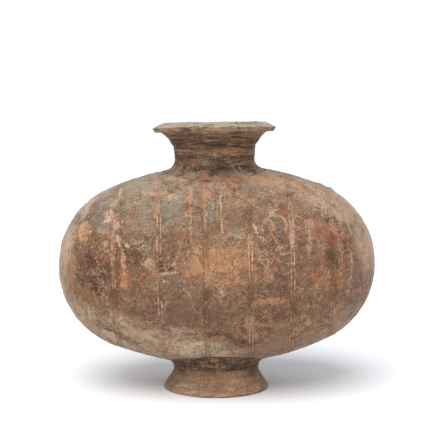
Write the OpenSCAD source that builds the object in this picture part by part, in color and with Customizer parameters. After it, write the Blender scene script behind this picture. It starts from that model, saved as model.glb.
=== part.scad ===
// Cocoon jar: a hollow earthenware ovoid lying on its side, with a flared neck on top and a ring foot below.
// The body is thrown as two halves that butt at the middle. The neck and the foot are thrown apart,
// cut to the saddle of the body and luted on, and every joint is sealed with a pressed coil of clay.
// Millimetres. The origin is the centre of the foot's base, +Z is up and +X runs along the body.

/* [Body] */
// Length of the body from end to end
body_length = 320; // [280:1:380]
// Greatest diameter of the body, at the seam between its halves
body_diameter = 201; // [185:1:230]
// Radius of the rounded left end
left_end_radius = 86; // [70:1:90]
// Radius of the rounded right end
right_end_radius = 85; // [70:1:90]
// Thickness of the body's wall
body_wall = 8; // [6:0.5:11]
// Lean of the body and the neck over the foot, in degrees
lean = 1.1; // [0:0.1:3]
// Sideways offset of the body's middle from the foot's axis
body_offset = 0.6; // [-3:0.1:3]

/* [Seam] */
// Depth of the V cut inside the two butted edges, where the coil is pressed in
seam_depth = 4; // [2:0.5:5]
// Width of that V at the inner wall
seam_width = 8; // [5:0.5:12]
// Height of the smoothed coil over the inner wall
seam_bead = 2; // [1:0.5:3]

/* [Incised bands] */
// Number of paired lines incised round each half
bands_each_half = 3; // [1:1:3]
// Distance of the left half's first pair from the seam
left_band_first = 10; // [6:0.5:20]
// Distance from one pair to the next on the left half
left_band_pitch = 43.3; // [30:0.1:46]
// Distance of the right half's first pair from the seam
right_band_first = 31.5; // [6:0.5:36]
// Distance from one pair to the next on the right half
right_band_pitch = 39.3; // [30:0.1:44]
// Distance between the two lines of a pair
line_gap = 3.2; // [2.4:0.1:5]
// Width of an incised line
line_width = 1.2; // [0.6:0.1:2]
// Depth of an incised line
line_depth = 0.5; // [0.2:0.1:1]

/* [Neck] */
// Narrowest outer diameter of the neck
neck_diameter = 80.6; // [74:0.2:90]
// Outer diameter of the neck just under the ridge
neck_top_diameter = 83.4; // [78:0.2:92]
// Height of the neck from the top of the body to the ridge
neck_height = 20; // [14:0.5:40]
// Height of the narrowest place over the top of the body
neck_waist_height = 6; // [4:0.5:10]
// How far the ridge stands out from the neck
ridge = 1.1; // [0.5:0.1:2]
// Diameter of the straight bore through the neck
bore_diameter = 65; // [56:0.5:68]
// Height of the straight bore's end over the top of the body
bore_height = 14; // [8:0.5:18]
// How much wider the hole cut in the body is than the bore
hole_margin = 3; // [1:0.5:6]

/* [Mouth] */
// Height of the hollow flare between the ridge and the rim
flare_height = 12; // [8:0.5:16]
// Diameter of the flare where it meets the underside of the rim
flare_diameter = 107; // [100:0.5:112]
// Radius of the flare's hollow curve
flare_radius = 28; // [20:1:60]
// Greatest diameter of the rim
rim_diameter = 125.6; // [120:0.2:136]
// Height of the rim's edge band
rim_edge = 4.5; // [3:0.5:8]
// How far the edge band draws in towards its foot
rim_undercut = 2.8; // [1:0.2:4]
// Height of the rim's sloping top
rim_slope = 5.4; // [3:0.2:8]
// Outer diameter of the level lip round the mouth
lip_diameter = 104; // [100:0.5:112]
// Diameter of the mouth
mouth_diameter = 96; // [88:0.5:98]

/* [Foot] */
// Height of the belly's lowest point over the ground
foot_height = 25; // [22:0.5:40]
// Greatest diameter of the foot, at the ground
foot_diameter = 108; // [100:0.5:120]
// Narrowest outer diameter of the foot
waist_diameter = 87; // [82:0.5:92]
// Height of the foot's narrowest place
waist_height = 20.5; // [18:0.5:22]
// Radius of the hollow curve at the narrowest place
waist_radius = 10; // [6:0.5:14]
// Thickness of the foot's wall
foot_wall = 9; // [6:0.5:12]
// Small bevel along the foot's two lower edges
foot_bevel = 0.8; // [0.4:0.2:1.6]

/* [Luting coils] */
// How far the neck's coil climbs the neck
neck_coil_rise = 9.5; // [6:0.5:11]
// How far the neck's coil spreads over the body
neck_coil_spread = 12.5; // [8:0.5:16]
// How far the foot's coil climbs down the foot
foot_coil_rise = 7.5; // [5:0.5:9]
// How far the foot's coil spreads over the body
foot_coil_spread = 10; // [5:0.5:12]
// Thickness at which a coil's pressed edge ends
coil_edge = 0.8; // [0.7:0.1:1.2]

/* [Hidden] */
$fn = 256;
LEFT = -1;
RIGHT = 1;
body_clay = "#94775f";
shoulder_clay = "#a07c5e";
neck_clay = "#84684f";
foot_clay = "#8e735c";
slip_clay = "#7c6350";

body_r = body_diameter / 2;
half_length = body_length / 2;
centre_height = foot_height + body_r;
neck_r = neck_diameter / 2;
neck_top_r = neck_top_diameter / 2;
bore_r = bore_diameter / 2;
hole_r = bore_r + hole_margin / 2;
flare_r = flare_diameter / 2;
rim_r = rim_diameter / 2;
lip_r = lip_diameter / 2;
mouth_r = mouth_diameter / 2;
foot_r = foot_diameter / 2;
waist_r = waist_diameter / 2;

// Heights of the neck's profile over the body's own centre
ridge_z = body_r + neck_height;
flare_z = ridge_z + flare_height;
corner_z = flare_z + rim_edge;
lip_z = corner_z + rim_slope;
bore_top_z = body_r + bore_height;
// Place of the foot's axis along the body, where the foot meets the leaning belly
foot_seat_x = -body_offset * cos(lean) - body_r * sin(lean);

// Spare length by which a cut or a sunk end passes the surface that trims it
pass = 1;
coil_steps = 40;
cove_steps = 5;

// Outline of the body: on each side a long belly arc runs tangent into a round end

function end_radius(side) = side == LEFT ? left_end_radius : right_end_radius;

function belly_radius(side) =
    let (r = end_radius(side))
    ((half_length - r) ^ 2 + body_r ^ 2 - r ^ 2) / (2 * (body_r - r));

// Where the belly arc runs into the end arc, as [radius, distance from the seam], at a depth below the surface
function arc_change(side, depth) =
    let (long = belly_radius(side), r = end_radius(side), share = (long - depth) / (long - r))
    [share * (long - body_r) - (long - body_r), share * (half_length - r)];

// Outer radius of the body at a distance x from the seam
function oval_radius(x) =
    let (side = x < 0 ? LEFT : RIGHT, q = abs(x), long = belly_radius(side), r = end_radius(side))
    q < arc_change(side, 0)[1]
        ? sqrt(long ^ 2 - q ^ 2) - (long - body_r)
        : sqrt(r ^ 2 - (q - half_length + r) ^ 2);

// Height of the body's surface over its own centre
function shoulder_height(x, y) = sqrt(oval_radius(x) ^ 2 - y ^ 2);

function bezier(a, b, c, t) = (1 - t) ^ 2 * a + 2 * t * (1 - t) * b + t ^ 2 * c;

// Point where the left tangent from p touches a circle
function left_tangent(p, centre, r) =
    let (d = norm(centre - p), bearing = atan2(centre[1] - p[1], centre[0] - p[0]) + asin(r / d))
    p + sqrt(d ^ 2 - r ^ 2) * [cos(bearing), sin(bearing)];

// Centre of the circle through a and b, on the right-hand side of the way from a to b
function arc_centre(a, b, r) =
    let (chord = b - a, half = norm(chord) / 2, out = [chord[1], -chord[0]] / norm(chord))
    (a + b) / 2 + sqrt(r ^ 2 - half ^ 2) * out;

// Half of the body's lengthwise section, across by radius and up by distance from the seam
module half_section(side, depth) {
    long = belly_radius(side) - depth;
    r = end_radius(side) - depth;
    change = arc_change(side, depth);
    intersection() {
        translate([body_r - belly_radius(side), 0]) circle(r = long);
        square([body_r, change[1]]);
    }
    intersection() {
        translate([0, half_length - end_radius(side)]) circle(r = r);
        translate([0, change[1]]) square([body_r, half_length - change[1]]);
    }
}

module lay_along(side) {
    rotate([0, side * 90, 0]) children();
}

// Puts what is drawn about the body's own centre in its place over the foot
module over_foot() {
    translate([body_offset, 0, centre_height]) rotate([0, -lean, 0]) children();
}

// The body's whole outer form, used to trim what sits on it
module body_form() {
    for (side = [LEFT, RIGHT])
        lay_along(side) rotate_extrude() half_section(side, 0);
}

// Half of the V inside the butted edges
module seam_cut() {
    inner = body_r - body_wall;
    reach = seam_width / 2 * (seam_depth + pass) / seam_depth;
    polygon([[inner - pass, -pass], [inner - pass, reach], [inner + seam_depth, 0], [inner + seam_depth, -pass]]);
}

// Paired lines round the half on this side
module incised_lines(side) {
    first = side == LEFT ? left_band_first : right_band_first;
    pitch = side == LEFT ? left_band_pitch : right_band_pitch;
    spread = line_width / 2 * (line_depth + pass) / line_depth;
    for (i = [0 : bands_each_half - 1], line = [-0.5, 0.5]) {
        place = first + i * pitch + line * line_gap;
        translate([oval_radius(side * place) - line_depth, place])
            polygon([[0, 0], [line_depth + pass, -spread], [line_depth + pass, spread]]);
    }
}

module body_half(side) {
    color(body_clay) over_foot() difference() {
        lay_along(side) rotate_extrude() difference() {
            half_section(side, 0);
            half_section(side, body_wall);
            seam_cut();
            incised_lines(side);
        }
        cylinder(r = hole_r, h = body_r + pass);
    }
}

module left_body_half() {
    body_half(LEFT);
}

module right_body_half() {
    body_half(RIGHT);
}

// The coil pressed into the V inside the seam and smoothed to a low bead
module seam_coil() {
    inner = body_r - body_wall;
    half = seam_width / 2;
    bead_r = (half ^ 2 + seam_bead ^ 2) / (2 * seam_bead);
    color(slip_clay) over_foot() difference() {
        lay_along(RIGHT) rotate_extrude() {
            polygon([[inner, -half], [inner + seam_depth, 0], [inner, half]]);
            intersection() {
                translate([inner - seam_bead + bead_r, 0]) circle(r = bead_r);
                translate([inner - seam_bead, -half]) square([seam_bead, seam_width]);
            }
        }
        cylinder(r = hole_r, h = body_r + pass);
    }
}

// Hollow of the neck: a straight bore that opens in one curve to the mouth
module neck_hollow() {
    across = mouth_r - bore_r;
    up = lip_z - bore_top_z;
    curve = (across ^ 2 + up ^ 2) / (2 * across);
    square([bore_r, bore_top_z]);
    difference() {
        translate([0, bore_top_z]) square([mouth_r, up + pass]);
        translate([bore_r + curve, bore_top_z]) circle(r = curve);
        translate([mouth_r, lip_z]) square([pass, pass]);
    }
}

module neck_and_mouth() {
    ridge_r = neck_top_r + ridge;
    flare_foot = [ridge_r, ridge_z];
    flare_top = [flare_r, flare_z];
    color(neck_clay) over_foot() difference() {
        rotate_extrude() difference() {
            polygon([[0, 0], [neck_r, 0], [neck_r, body_r + neck_waist_height], [neck_top_r, ridge_z - ridge],
                     flare_foot, flare_top, [rim_r - rim_undercut, flare_z], [rim_r, corner_z],
                     [lip_r, lip_z], [0, lip_z]]);
            intersection() {
                translate(arc_centre(flare_foot, flare_top, flare_radius)) circle(r = flare_radius);
                translate([neck_top_r - ridge, ridge_z]) square([flare_r, flare_height]);
            }
            neck_hollow();
        }
        body_form();
    }
}

// One cross-section of a coil at a bearing round its axis: a hollow curve from the wall down to the body,
// with its back sunk into the wall and its foot sunk into the body
function coil_section(bearing, seat_x, wall_r, rise, spread) =
    let (
        way = [cos(bearing), sin(bearing)],
        joint = shoulder_height(seat_x + wall_r * way[0], wall_r * way[1]),
        edge_r = wall_r + spread,
        edge = shoulder_height(seat_x + edge_r * way[0], edge_r * way[1]),
        top = [wall_r + coil_edge, joint + rise],
        corner = [wall_r + coil_edge, joint + coil_edge],
        toe = [edge_r, edge + coil_edge],
        cove = [for (i = [0 : cove_steps]) bezier(top, corner, toe, i / cove_steps)],
        back = [[edge_r, edge - pass], [wall_r - pass, joint - pass], [wall_r - pass, joint + rise]]
    )
    [for (p = concat(cove, back)) [seat_x + p[0] * way[0], p[0] * way[1], p[1]]];

module coil_sweep(seat_x, wall_r, rise, spread) {
    sections = [for (i = [0 : coil_steps - 1])
        coil_section(360 * i / coil_steps, seat_x, wall_r, rise, spread)];
    count = len(sections[0]);
    triangles = [for (i = [0 : coil_steps - 1], j = [0 : count - 1])
        let (
            a = i * count + j,
            b = i * count + (j + 1) % count,
            c = ((i + 1) % coil_steps) * count + (j + 1) % count,
            d = ((i + 1) % coil_steps) * count + j
        )
        each [[a, b, c], [a, c, d]]];
    polyhedron(points = [for (s = sections) each s], faces = triangles);
}

module neck_luting_coil() {
    color(shoulder_clay) over_foot() difference() {
        coil_sweep(0, neck_r, neck_coil_rise, neck_coil_spread);
        cylinder(r = neck_r, h = flare_z);
        body_form();
    }
}

module foot_outline() {
    hollow_centre = [waist_r + waist_radius, waist_height];
    toe = [foot_r, foot_bevel];
    touch = left_tangent(toe, hollow_centre, waist_radius);
    inner_foot_r = foot_r - foot_wall;
    inner_waist_r = waist_r - foot_wall;
    top = centre_height;
    difference() {
        polygon([[inner_foot_r + foot_bevel, 0], [foot_r - foot_bevel, 0], toe, touch,
                 [touch[0], waist_height], [waist_r, waist_height], [waist_r, top], [inner_waist_r, top],
                 [inner_waist_r, waist_height], [inner_foot_r, foot_bevel]]);
        translate(hollow_centre) circle(r = waist_radius);
    }
}

module foot_ring() {
    color(foot_clay) difference() {
        rotate_extrude() foot_outline();
        over_foot() body_form();
    }
}

module foot_luting_coil() {
    color(foot_clay) difference() {
        over_foot() mirror([0, 0, 1]) coil_sweep(foot_seat_x, waist_r, foot_coil_rise, foot_coil_spread);
        cylinder(r = waist_r, h = centre_height);
        over_foot() body_form();
    }
}

left_body_half();
right_body_half();
seam_coil();
neck_and_mouth();
neck_luting_coil();
foot_ring();
foot_luting_coil();
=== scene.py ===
from math import asin, atan2, cos, pi, radians, sin, sqrt

import bmesh
import bpy
import numpy as np
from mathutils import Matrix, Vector


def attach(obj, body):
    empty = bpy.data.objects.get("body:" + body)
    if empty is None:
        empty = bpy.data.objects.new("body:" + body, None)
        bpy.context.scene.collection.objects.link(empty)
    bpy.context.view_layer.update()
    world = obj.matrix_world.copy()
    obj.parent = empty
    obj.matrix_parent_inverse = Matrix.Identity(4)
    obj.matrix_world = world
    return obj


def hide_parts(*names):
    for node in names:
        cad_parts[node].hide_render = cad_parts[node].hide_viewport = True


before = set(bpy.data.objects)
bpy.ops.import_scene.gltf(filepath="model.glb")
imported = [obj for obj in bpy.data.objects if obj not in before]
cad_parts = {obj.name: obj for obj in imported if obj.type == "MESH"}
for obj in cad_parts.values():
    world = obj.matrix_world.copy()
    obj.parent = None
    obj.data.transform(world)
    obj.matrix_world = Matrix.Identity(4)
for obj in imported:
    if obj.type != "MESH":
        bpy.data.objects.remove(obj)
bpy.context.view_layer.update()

MM = 0.001
LEFT, RIGHT = -1, 1

# Sizes of the jar in millimetres, the same as the solids have
BODY_LENGTH = 320.0
BODY_DIAMETER = 201.0
END_RADIUS = {LEFT: 86.0, RIGHT: 85.0}
BODY_WALL = 8.0
LEAN = radians(1.1)
BODY_OFFSET = 0.6
FOOT_HEIGHT = 25.0
SEAM_DEPTH = 4.0
SEAM_WIDTH = 8.0
SEAM_BEAD = 2.0
BANDS_EACH_HALF = 3
BAND_FIRST = {LEFT: 10.0, RIGHT: 31.5}
BAND_PITCH = {LEFT: 43.3, RIGHT: 39.3}
LINE_GAP = 3.2
NECK_RADIUS = 40.3
NECK_TOP_RADIUS = 41.7
NECK_HEIGHT = 20.0
NECK_WAIST_HEIGHT = 6.0
RIDGE = 1.1
BORE_RADIUS = 32.5
BORE_HEIGHT = 14.0
HOLE_MARGIN = 1.5
FLARE_HEIGHT = 12.0
FLARE_RADIUS = 53.5
FLARE_CURVE = 28.0
RIM_RADIUS = 62.8
RIM_EDGE = 4.5
RIM_UNDERCUT = 2.8
RIM_SLOPE = 5.4
LIP_RADIUS = 52.0
MOUTH_RADIUS = 48.0
FOOT_RADIUS = 54.0
WAIST_RADIUS = 43.5
WAIST_HEIGHT = 20.5
WAIST_CURVE = 10.0
FOOT_WALL = 9.0

# The luting coils, in millimetres: how far each rises on its wall, and how far it spreads over the body. The
# neck's coil rises half a millimetre less than the solid's
NECK_COIL = {"rise": 9.0, "spread": 12.5}
FOOT_COIL = {"rise": 7.5, "spread": 10.0}

# Small forms, in millimetres: where the flare leaves the ridge, how much higher the lip is on the left, how
# high the toe of the foot is, over what height the foot stays level, and how far each corner is rounded
FLARE_START = {"out": 0.3, "up": 0.6}
LIP_RAISED = 0.6
TOE_HEIGHT = 0.8
FOOT_LEVEL = 4.0
NECK_ROUNDING = {"waist": 20.0, "under the ridge": 0.6, "ridge": 0.5, "flare": 0.8, "undercut": 0.9,
                 "rim": 0.9, "lip": 1.4, "mouth": 1.2}
FOOT_ROUNDING = {"inner edge": 1.2, "outer edge": 1.0, "inner waist": 4.0}

# Lumps of crust on the top of the right shoulder: (distance from the seam, reach, height), in millimetres
SHOULDER_LUMPS = [(107.0, 7.0, 1.1), (117.0, 6.0, 1.3)]

# Where the camera stands and how far it sees, in millimetres, and how it looks
CAMERA_PLACE = (-0.18, -1035.0, 249.5)
CAMERA_FAR = 100000.0
CAMERA_TILT = 0.073
CAMERA_LENS = 85.5
CAMERA_SENSOR = 36.0

# Fineness of the meshes, in millimetres and in steps round an axis or along an arc
SKIN_SPACING = 1.25
WALL_SPACING = 1.0
ROUND_STEPS = {"body": 400, "neck": 320, "foot": 320, "coil": 240, "seam": 200, "hole": 96}
ARC_STEPS = {"flare": 10, "mouth": 14, "waist": 8, "cove": 16, "half of the bead": 4}
ROUNDING_STEP = radians(18)
INNER_POINTS = 26

# Rows of points at and beside each incised line, in millimetres from it
LINE_ROWS = (-0.8, -0.4, 0.0, 0.4, 0.8)

# How far a hidden edge is sunk into the next piece, and how far a coil stands off its curve, in millimetres
SUNK = 0.8
FEATHER = 0.15

# In millimetres: how near points are merged, how near the skin a point counts as on it, and the distance that
# is kept for points far from every incised line
MERGED = 0.0001
ON_SKIN = 0.05
FAR_FROM_LINES = 20.0

# Share of the foot's level height whose skin never moves, so that it stands flat
FOOT_STILL = 0.1

BODY_RADIUS = BODY_DIAMETER / 2
HALF_LENGTH = BODY_LENGTH / 2
CENTRE_HEIGHT = FOOT_HEIGHT + BODY_RADIUS
RIDGE_Z = BODY_RADIUS + NECK_HEIGHT
FLARE_Z = RIDGE_Z + FLARE_HEIGHT
CORNER_Z = FLARE_Z + RIM_EDGE
LIP_Z = CORNER_Z + RIM_SLOPE
BORE_TOP_Z = BODY_RADIUS + BORE_HEIGHT
FOOT_SEAT_X = -BODY_OFFSET * cos(LEAN) - BODY_RADIUS * sin(LEAN)


# The form of the jar

def belly_radius(side):
    """Radius of the long arc that runs from the seam to the round end."""
    end = END_RADIUS[side]
    return ((HALF_LENGTH - end) ** 2 + BODY_RADIUS ** 2 - end ** 2) / (2 * (BODY_RADIUS - end))


def change_angle(side):
    """Slope of the surface where the long arc gives way to the round end."""
    end = END_RADIUS[side]
    return asin((HALF_LENGTH - end) / (belly_radius(side) - end))


def oval_point(side, slope, depth=0.0):
    """(distance from the seam, radius) where the body's surface has this slope."""
    end = END_RADIUS[side]
    belly = belly_radius(side)
    if slope < change_angle(side):
        return (belly - depth) * sin(slope), (belly - depth) * cos(slope) - (belly - BODY_RADIUS)
    return HALF_LENGTH - end + (end - depth) * sin(slope), (end - depth) * cos(slope)


def oval_slope(side, along):
    """Slope of the body's surface at a distance from the seam."""
    end = END_RADIUS[side]
    slope = asin(along / belly_radius(side))
    if slope < change_angle(side):
        return slope
    return asin((along - HALF_LENGTH + end) / end)


def oval_arcs(along):
    """Radii of the round end and of the long arc at signed distances from the seam, and where they meet."""
    end = np.where(along < 0, END_RADIUS[LEFT], END_RADIUS[RIGHT])
    belly = np.where(along < 0, belly_radius(LEFT), belly_radius(RIGHT))
    return end, belly, (HALF_LENGTH - end) * belly / (belly - end)


def oval_radius(along):
    """Radius of the body at signed distances from the seam."""
    end, belly, change = oval_arcs(along)
    far = np.abs(along)
    middle = np.sqrt(np.maximum(belly ** 2 - far ** 2, 0)) - (belly - BODY_RADIUS)
    tip = np.sqrt(np.maximum(end ** 2 - (far - HALF_LENGTH + end) ** 2, 0))
    return np.where(far < change, middle, tip)


def shoulder_height(x, y):
    """Height of the body's surface over its own centre."""
    return np.sqrt(np.maximum(oval_radius(x) ** 2 - y ** 2, 0))


def over_foot(points):
    """From the body's own centre to the frame: leaned, and set over the foot."""
    x, y, z = points.T
    return np.stack([x * cos(LEAN) - z * sin(LEAN) + BODY_OFFSET, y,
                     x * sin(LEAN) + z * cos(LEAN) + CENTRE_HEIGHT], axis=1)


def about_centre(points):
    """From the frame back to the body's own centre."""
    x, y, z = (points - np.array([BODY_OFFSET, 0, CENTRE_HEIGHT])).T
    return np.stack([x * cos(LEAN) + z * sin(LEAN), y, z * cos(LEAN) - x * sin(LEAN)], axis=1)


def body_surface(x, z):
    """Point of the body's front at this place across and up in the frame, in millimetres."""
    along, _, up = about_centre(np.array([[x, 0.0, z]]))[0]
    depth = sqrt(max(float(oval_radius(np.array(along))) ** 2 - up ** 2, 0.0))
    return x, -depth, z


def line_places(side):
    """Distances from the seam of the incised lines of one half."""
    firsts = [BAND_FIRST[side] + i * BAND_PITCH[side] for i in range(BANDS_EACH_HALF)]
    return [first + half * LINE_GAP for first in firsts for half in (-0.5, 0.5)]


# Outlines and meshes

def rounded(corners):
    """Outline through corners given as (radius, height, rounding), each rounded by an arc."""
    outline = []
    for i, (x, z, rounding) in enumerate(corners):
        here = Vector((x, z))
        if not rounding:
            outline.append((x, z))
            continue
        before = (Vector(corners[i - 1][:2]) - here).normalized()
        after = (Vector(corners[(i + 1) % len(corners)][:2]) - here).normalized()
        half = before.angle(after) / 2
        reach = rounding / np.tan(half)
        centre = here + (before + after).normalized() * (rounding / sin(half))
        start = here + before * reach - centre
        turn = start.angle_signed(here + after * reach - centre)
        steps = max(2, int(abs(turn) / ROUNDING_STEP))
        for k in range(steps + 1):
            bearing = turn * k / steps
            outline.append((centre.x + start.x * cos(bearing) + start.y * sin(bearing),
                            centre.y + start.y * cos(bearing) - start.x * sin(bearing)))
    return outline


def arc(start, end, radius, steps):
    """Points of the arc that bulges to the left of the way from start to end, both ends left out."""
    start, end = np.array(start), np.array(end)
    chord = end - start
    half = np.hypot(*chord) / 2
    out = np.array([chord[1], -chord[0]]) / (2 * half)
    centre = (start + end) / 2 + sqrt(radius ** 2 - half ** 2) * out
    first = atan2(*(start - centre)[::-1])
    last = atan2(*(end - centre)[::-1])
    sweep = (last - first + pi) % (2 * pi) - pi
    bearings = [first + sweep * k / steps for k in range(1, steps)]
    return [tuple(centre + radius * np.array([cos(b), sin(b)])) for b in bearings]


def spaced(outline):
    """The open outline with points added so that no step is longer than the wall's spacing."""
    result = []
    for a, b in zip(np.array(outline[:-1]), np.array(outline[1:])):
        steps = max(1, int(np.ceil(np.hypot(*(b - a)) / WALL_SPACING)))
        result += [tuple(a + (b - a) * k / steps) for k in range(steps)]
    return result + [outline[-1]]


def turned(outline, steps):
    """Points of an outline of (radius, height) turned round Z, one row for each step."""
    r, z = np.array(outline).T
    bearing = np.arange(steps) * 2 * pi / steps
    return np.stack([np.outer(np.sin(bearing), r), np.outer(np.cos(bearing), r),
                     np.broadcast_to(z, (steps, len(z)))], axis=2)


def woven(rows, count, ring=True, loop=True):
    """Quads of a grid of points: ring closes it from last row to first, loop from last column to first."""
    a = np.arange(rows * count).reshape(rows, count)
    if ring:
        a = np.vstack([a, a[:1]])
    if loop:
        a = np.hstack([a, a[:, :1]])
    return np.stack([a[:-1, :-1], a[1:, :-1], a[1:, 1:], a[:-1, 1:]], axis=-1).reshape(-1, 4)


def clay_mesh(name, points, faces, extra=()):
    """A piece of clay from points in millimetres, with doubles merged and faces turned outwards."""
    mesh = bpy.data.meshes.new(name)
    mesh.from_pydata((points * MM).tolist(), [], faces.tolist() + [list(face) for face in extra])
    work = bmesh.new()
    work.from_mesh(mesh)
    bmesh.ops.remove_doubles(work, verts=work.verts, dist=MERGED * MM)
    bmesh.ops.recalc_face_normals(work, faces=work.faces)
    work.to_mesh(mesh)
    work.free()
    mesh.shade_smooth()
    piece = bpy.data.objects.new(name, mesh)
    bpy.context.scene.collection.objects.link(piece)
    return piece


def applied(piece):
    """Turns what the piece's modifiers give into its plain mesh."""
    seen = piece.evaluated_get(bpy.context.evaluated_depsgraph_get())
    mesh = bpy.data.meshes.new_from_object(seen)
    piece.modifiers.clear()
    spent = piece.data
    piece.data = mesh
    bpy.data.meshes.remove(spent)
    mesh.name = piece.name


def vertex_rows(piece, what):
    """Places ("co", in metres) or normals ("normal") of a piece's vertices, one row each."""
    flat = np.empty(len(piece.data.vertices) * 3)
    piece.data.vertices.foreach_get(what, flat)
    return flat.reshape(-1, 3)


def write_attribute(piece, name, kind, values):
    """Keeps one value, or one vector, for each vertex of the piece under a name."""
    attribute = piece.data.attributes.new(name, kind, "POINT")
    what = "vector" if kind == "FLOAT_VECTOR" else "value"
    attribute.data.foreach_set(what, values.astype(np.float32).ravel())


def body_half(side, name):
    """One half of the body: outer skin, seam face and inner wall turned in one, with its half of the hole
    under the neck."""
    belly = belly_radius(side)
    change = change_angle(side)
    slopes = np.concatenate([np.arange(0, change, SKIN_SPACING / belly),
                             np.arange(change, pi / 2, SKIN_SPACING / END_RADIUS[side])])
    near = [oval_slope(side, place + row) for place in line_places(side) for row in LINE_ROWS]
    slopes = np.unique(np.concatenate([slopes, near, [pi / 2]]))[::-1]
    outer = [oval_point(side, slope) for slope in slopes]
    inner = [oval_point(side, slope, BODY_WALL) for slope in np.linspace(0, pi / 2, INNER_POINTS)
             if belly * sin(slope) > SEAM_WIDTH / 2]
    rim = [(0.0, BODY_RADIUS - BODY_WALL + SEAM_DEPTH), (SEAM_WIDTH / 2, BODY_RADIUS - BODY_WALL)]
    outline = [(radius, along) for along, radius in outer + rim + inner]
    steps = ROUND_STEPS["body"]
    points = turned(outline, steps).reshape(-1, 3)
    points = np.stack([side * points[:, 2], points[:, 0], points[:, 1]], axis=1)
    piece = clay_mesh(name, over_foot(points), woven(steps, len(outline), loop=False))
    cut_hole(piece)
    body_marks(piece)
    return piece


def cut_hole(piece):
    """Cuts the round hole under the neck."""
    hole = BORE_RADIUS + HOLE_MARGIN
    outline = [(0.0, 0.0), (hole, 0.0), (hole, LIP_Z), (0.0, LIP_Z)]
    steps = ROUND_STEPS["hole"]
    points = turned(outline, steps).reshape(-1, 3)
    cutter = clay_mesh("hole_cutter", over_foot(points), woven(steps, len(outline), loop=False))
    cut = piece.modifiers.new("hole", "BOOLEAN")
    cut.operation = "DIFFERENCE"
    cut.solver = "EXACT"
    cut.object = cutter
    applied(piece)
    bpy.data.objects.remove(cutter)


def body_marks(piece):
    """Attributes of a body half: which way its outer skin may move, its lumps of crust in metres, and how far
    the nearest incised line is in millimetres."""
    points = about_centre(vertex_rows(piece, "co") / MM)
    x, y, z = points.T
    end, belly, change = oval_arcs(x)
    far = np.abs(x)
    slope_sine = np.where(far < change, far / belly, np.clip((far - HALF_LENGTH + end) / end, 0, 1))
    slope_cosine = np.sqrt(1 - slope_sine ** 2)
    radius = np.hypot(y, z)
    divisor = np.where(radius < MERGED, 1.0, radius)
    out = np.stack([np.sign(x) * slope_sine, slope_cosine * y / divisor, slope_cosine * z / divisor], axis=1)
    out = over_foot(out) - over_foot(np.zeros((1, 3)))
    skin = np.abs(radius - oval_radius(x)) < ON_SKIN
    lines = [side * place for side in (LEFT, RIGHT) for place in line_places(side)]
    distance = np.min(np.abs(x[:, None] - np.array(lines)[None]), axis=1)
    lump = np.zeros(len(x))
    for along, reach, height in SHOULDER_LUMPS:
        top = np.array([along, 0.0, float(oval_radius(np.array(along)))])
        near = np.clip(1 - np.linalg.norm(points - top, axis=1) / reach, 0, 1)
        lump += height * near ** 2 * (3 - 2 * near)
    write_attribute(piece, "out", "FLOAT_VECTOR", out * skin[:, None])
    write_attribute(piece, "lump", "FLOAT", lump * MM)
    distance = np.where(skin, np.minimum(distance, FAR_FROM_LINES), FAR_FROM_LINES)
    write_attribute(piece, "line_distance", "FLOAT", distance)


def plain_marks(piece, free=1.0):
    """Attributes of a turned piece: out is the mesh's own normal, as far as each point is free to move."""
    normals = vertex_rows(piece, "normal")
    write_attribute(piece, "out", "FLOAT_VECTOR", normals * free)
    write_attribute(piece, "line_distance", "FLOAT", np.full(len(normals), FAR_FROM_LINES))


def neck_and_mouth(name):
    """The neck with its ridge, flare, bevelled rim and mouth, turned in one and cut to the shoulder."""
    ridge_radius = NECK_TOP_RADIUS + RIDGE
    flare_start = (ridge_radius + FLARE_START["out"], RIDGE_Z + FLARE_START["up"])
    flare = arc(flare_start, (FLARE_RADIUS, FLARE_Z), FLARE_CURVE, ARC_STEPS["flare"])
    across, up = MOUTH_RADIUS - BORE_RADIUS, LIP_Z - BORE_TOP_Z
    mouth_curve = (across ** 2 + up ** 2) / (2 * across)
    mouth = arc((BORE_RADIUS, BORE_TOP_Z), (MOUTH_RADIUS, LIP_Z), mouth_curve, ARC_STEPS["mouth"])
    # The walls run down to the body's axis, and are cut at the shoulder below
    axis_z = 0.0
    corners = [(NECK_RADIUS, axis_z, 0),
               (NECK_RADIUS, BODY_RADIUS + NECK_WAIST_HEIGHT, NECK_ROUNDING["waist"]),
               (NECK_TOP_RADIUS, RIDGE_Z - RIDGE, NECK_ROUNDING["under the ridge"]),
               (ridge_radius, RIDGE_Z, NECK_ROUNDING["ridge"])]
    corners += [(x, z, 0) for x, z in flare]
    corners += [(FLARE_RADIUS, FLARE_Z, NECK_ROUNDING["flare"]),
                (RIM_RADIUS - RIM_UNDERCUT, FLARE_Z, NECK_ROUNDING["undercut"]),
                (RIM_RADIUS, CORNER_Z, NECK_ROUNDING["rim"]),
                (LIP_RADIUS, LIP_Z, NECK_ROUNDING["lip"]),
                (MOUTH_RADIUS, LIP_Z, NECK_ROUNDING["mouth"])]
    corners += [(x, z, 0) for x, z in reversed(mouth)]
    corners += [(BORE_RADIUS, BORE_TOP_Z, 0), (BORE_RADIUS, axis_z, 0)]
    above = [(x, z) for x, z in rounded(corners) if z > axis_z]
    outline = [(NECK_RADIUS, BODY_RADIUS)] + spaced(above) + [(BORE_RADIUS, BODY_RADIUS)]
    steps = ROUND_STEPS["neck"]
    points = turned(outline, steps)
    for ends in (0, -1):
        points[:, ends, 2] = shoulder_height(points[:, ends, 0], points[:, ends, 1]) - SUNK
    # The rim stands a little higher on the left
    raised = np.clip((points[:, :, 2] - RIDGE_Z) / (CORNER_Z - RIDGE_Z), 0, 1)
    points[:, :, 2] += LIP_RAISED * raised * np.clip(0.5 - points[:, :, 0] / RIM_RADIUS, 0, 1)
    piece = clay_mesh(name, over_foot(points.reshape(-1, 3)), woven(steps, len(outline)))
    plain_marks(piece)
    return piece


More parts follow.
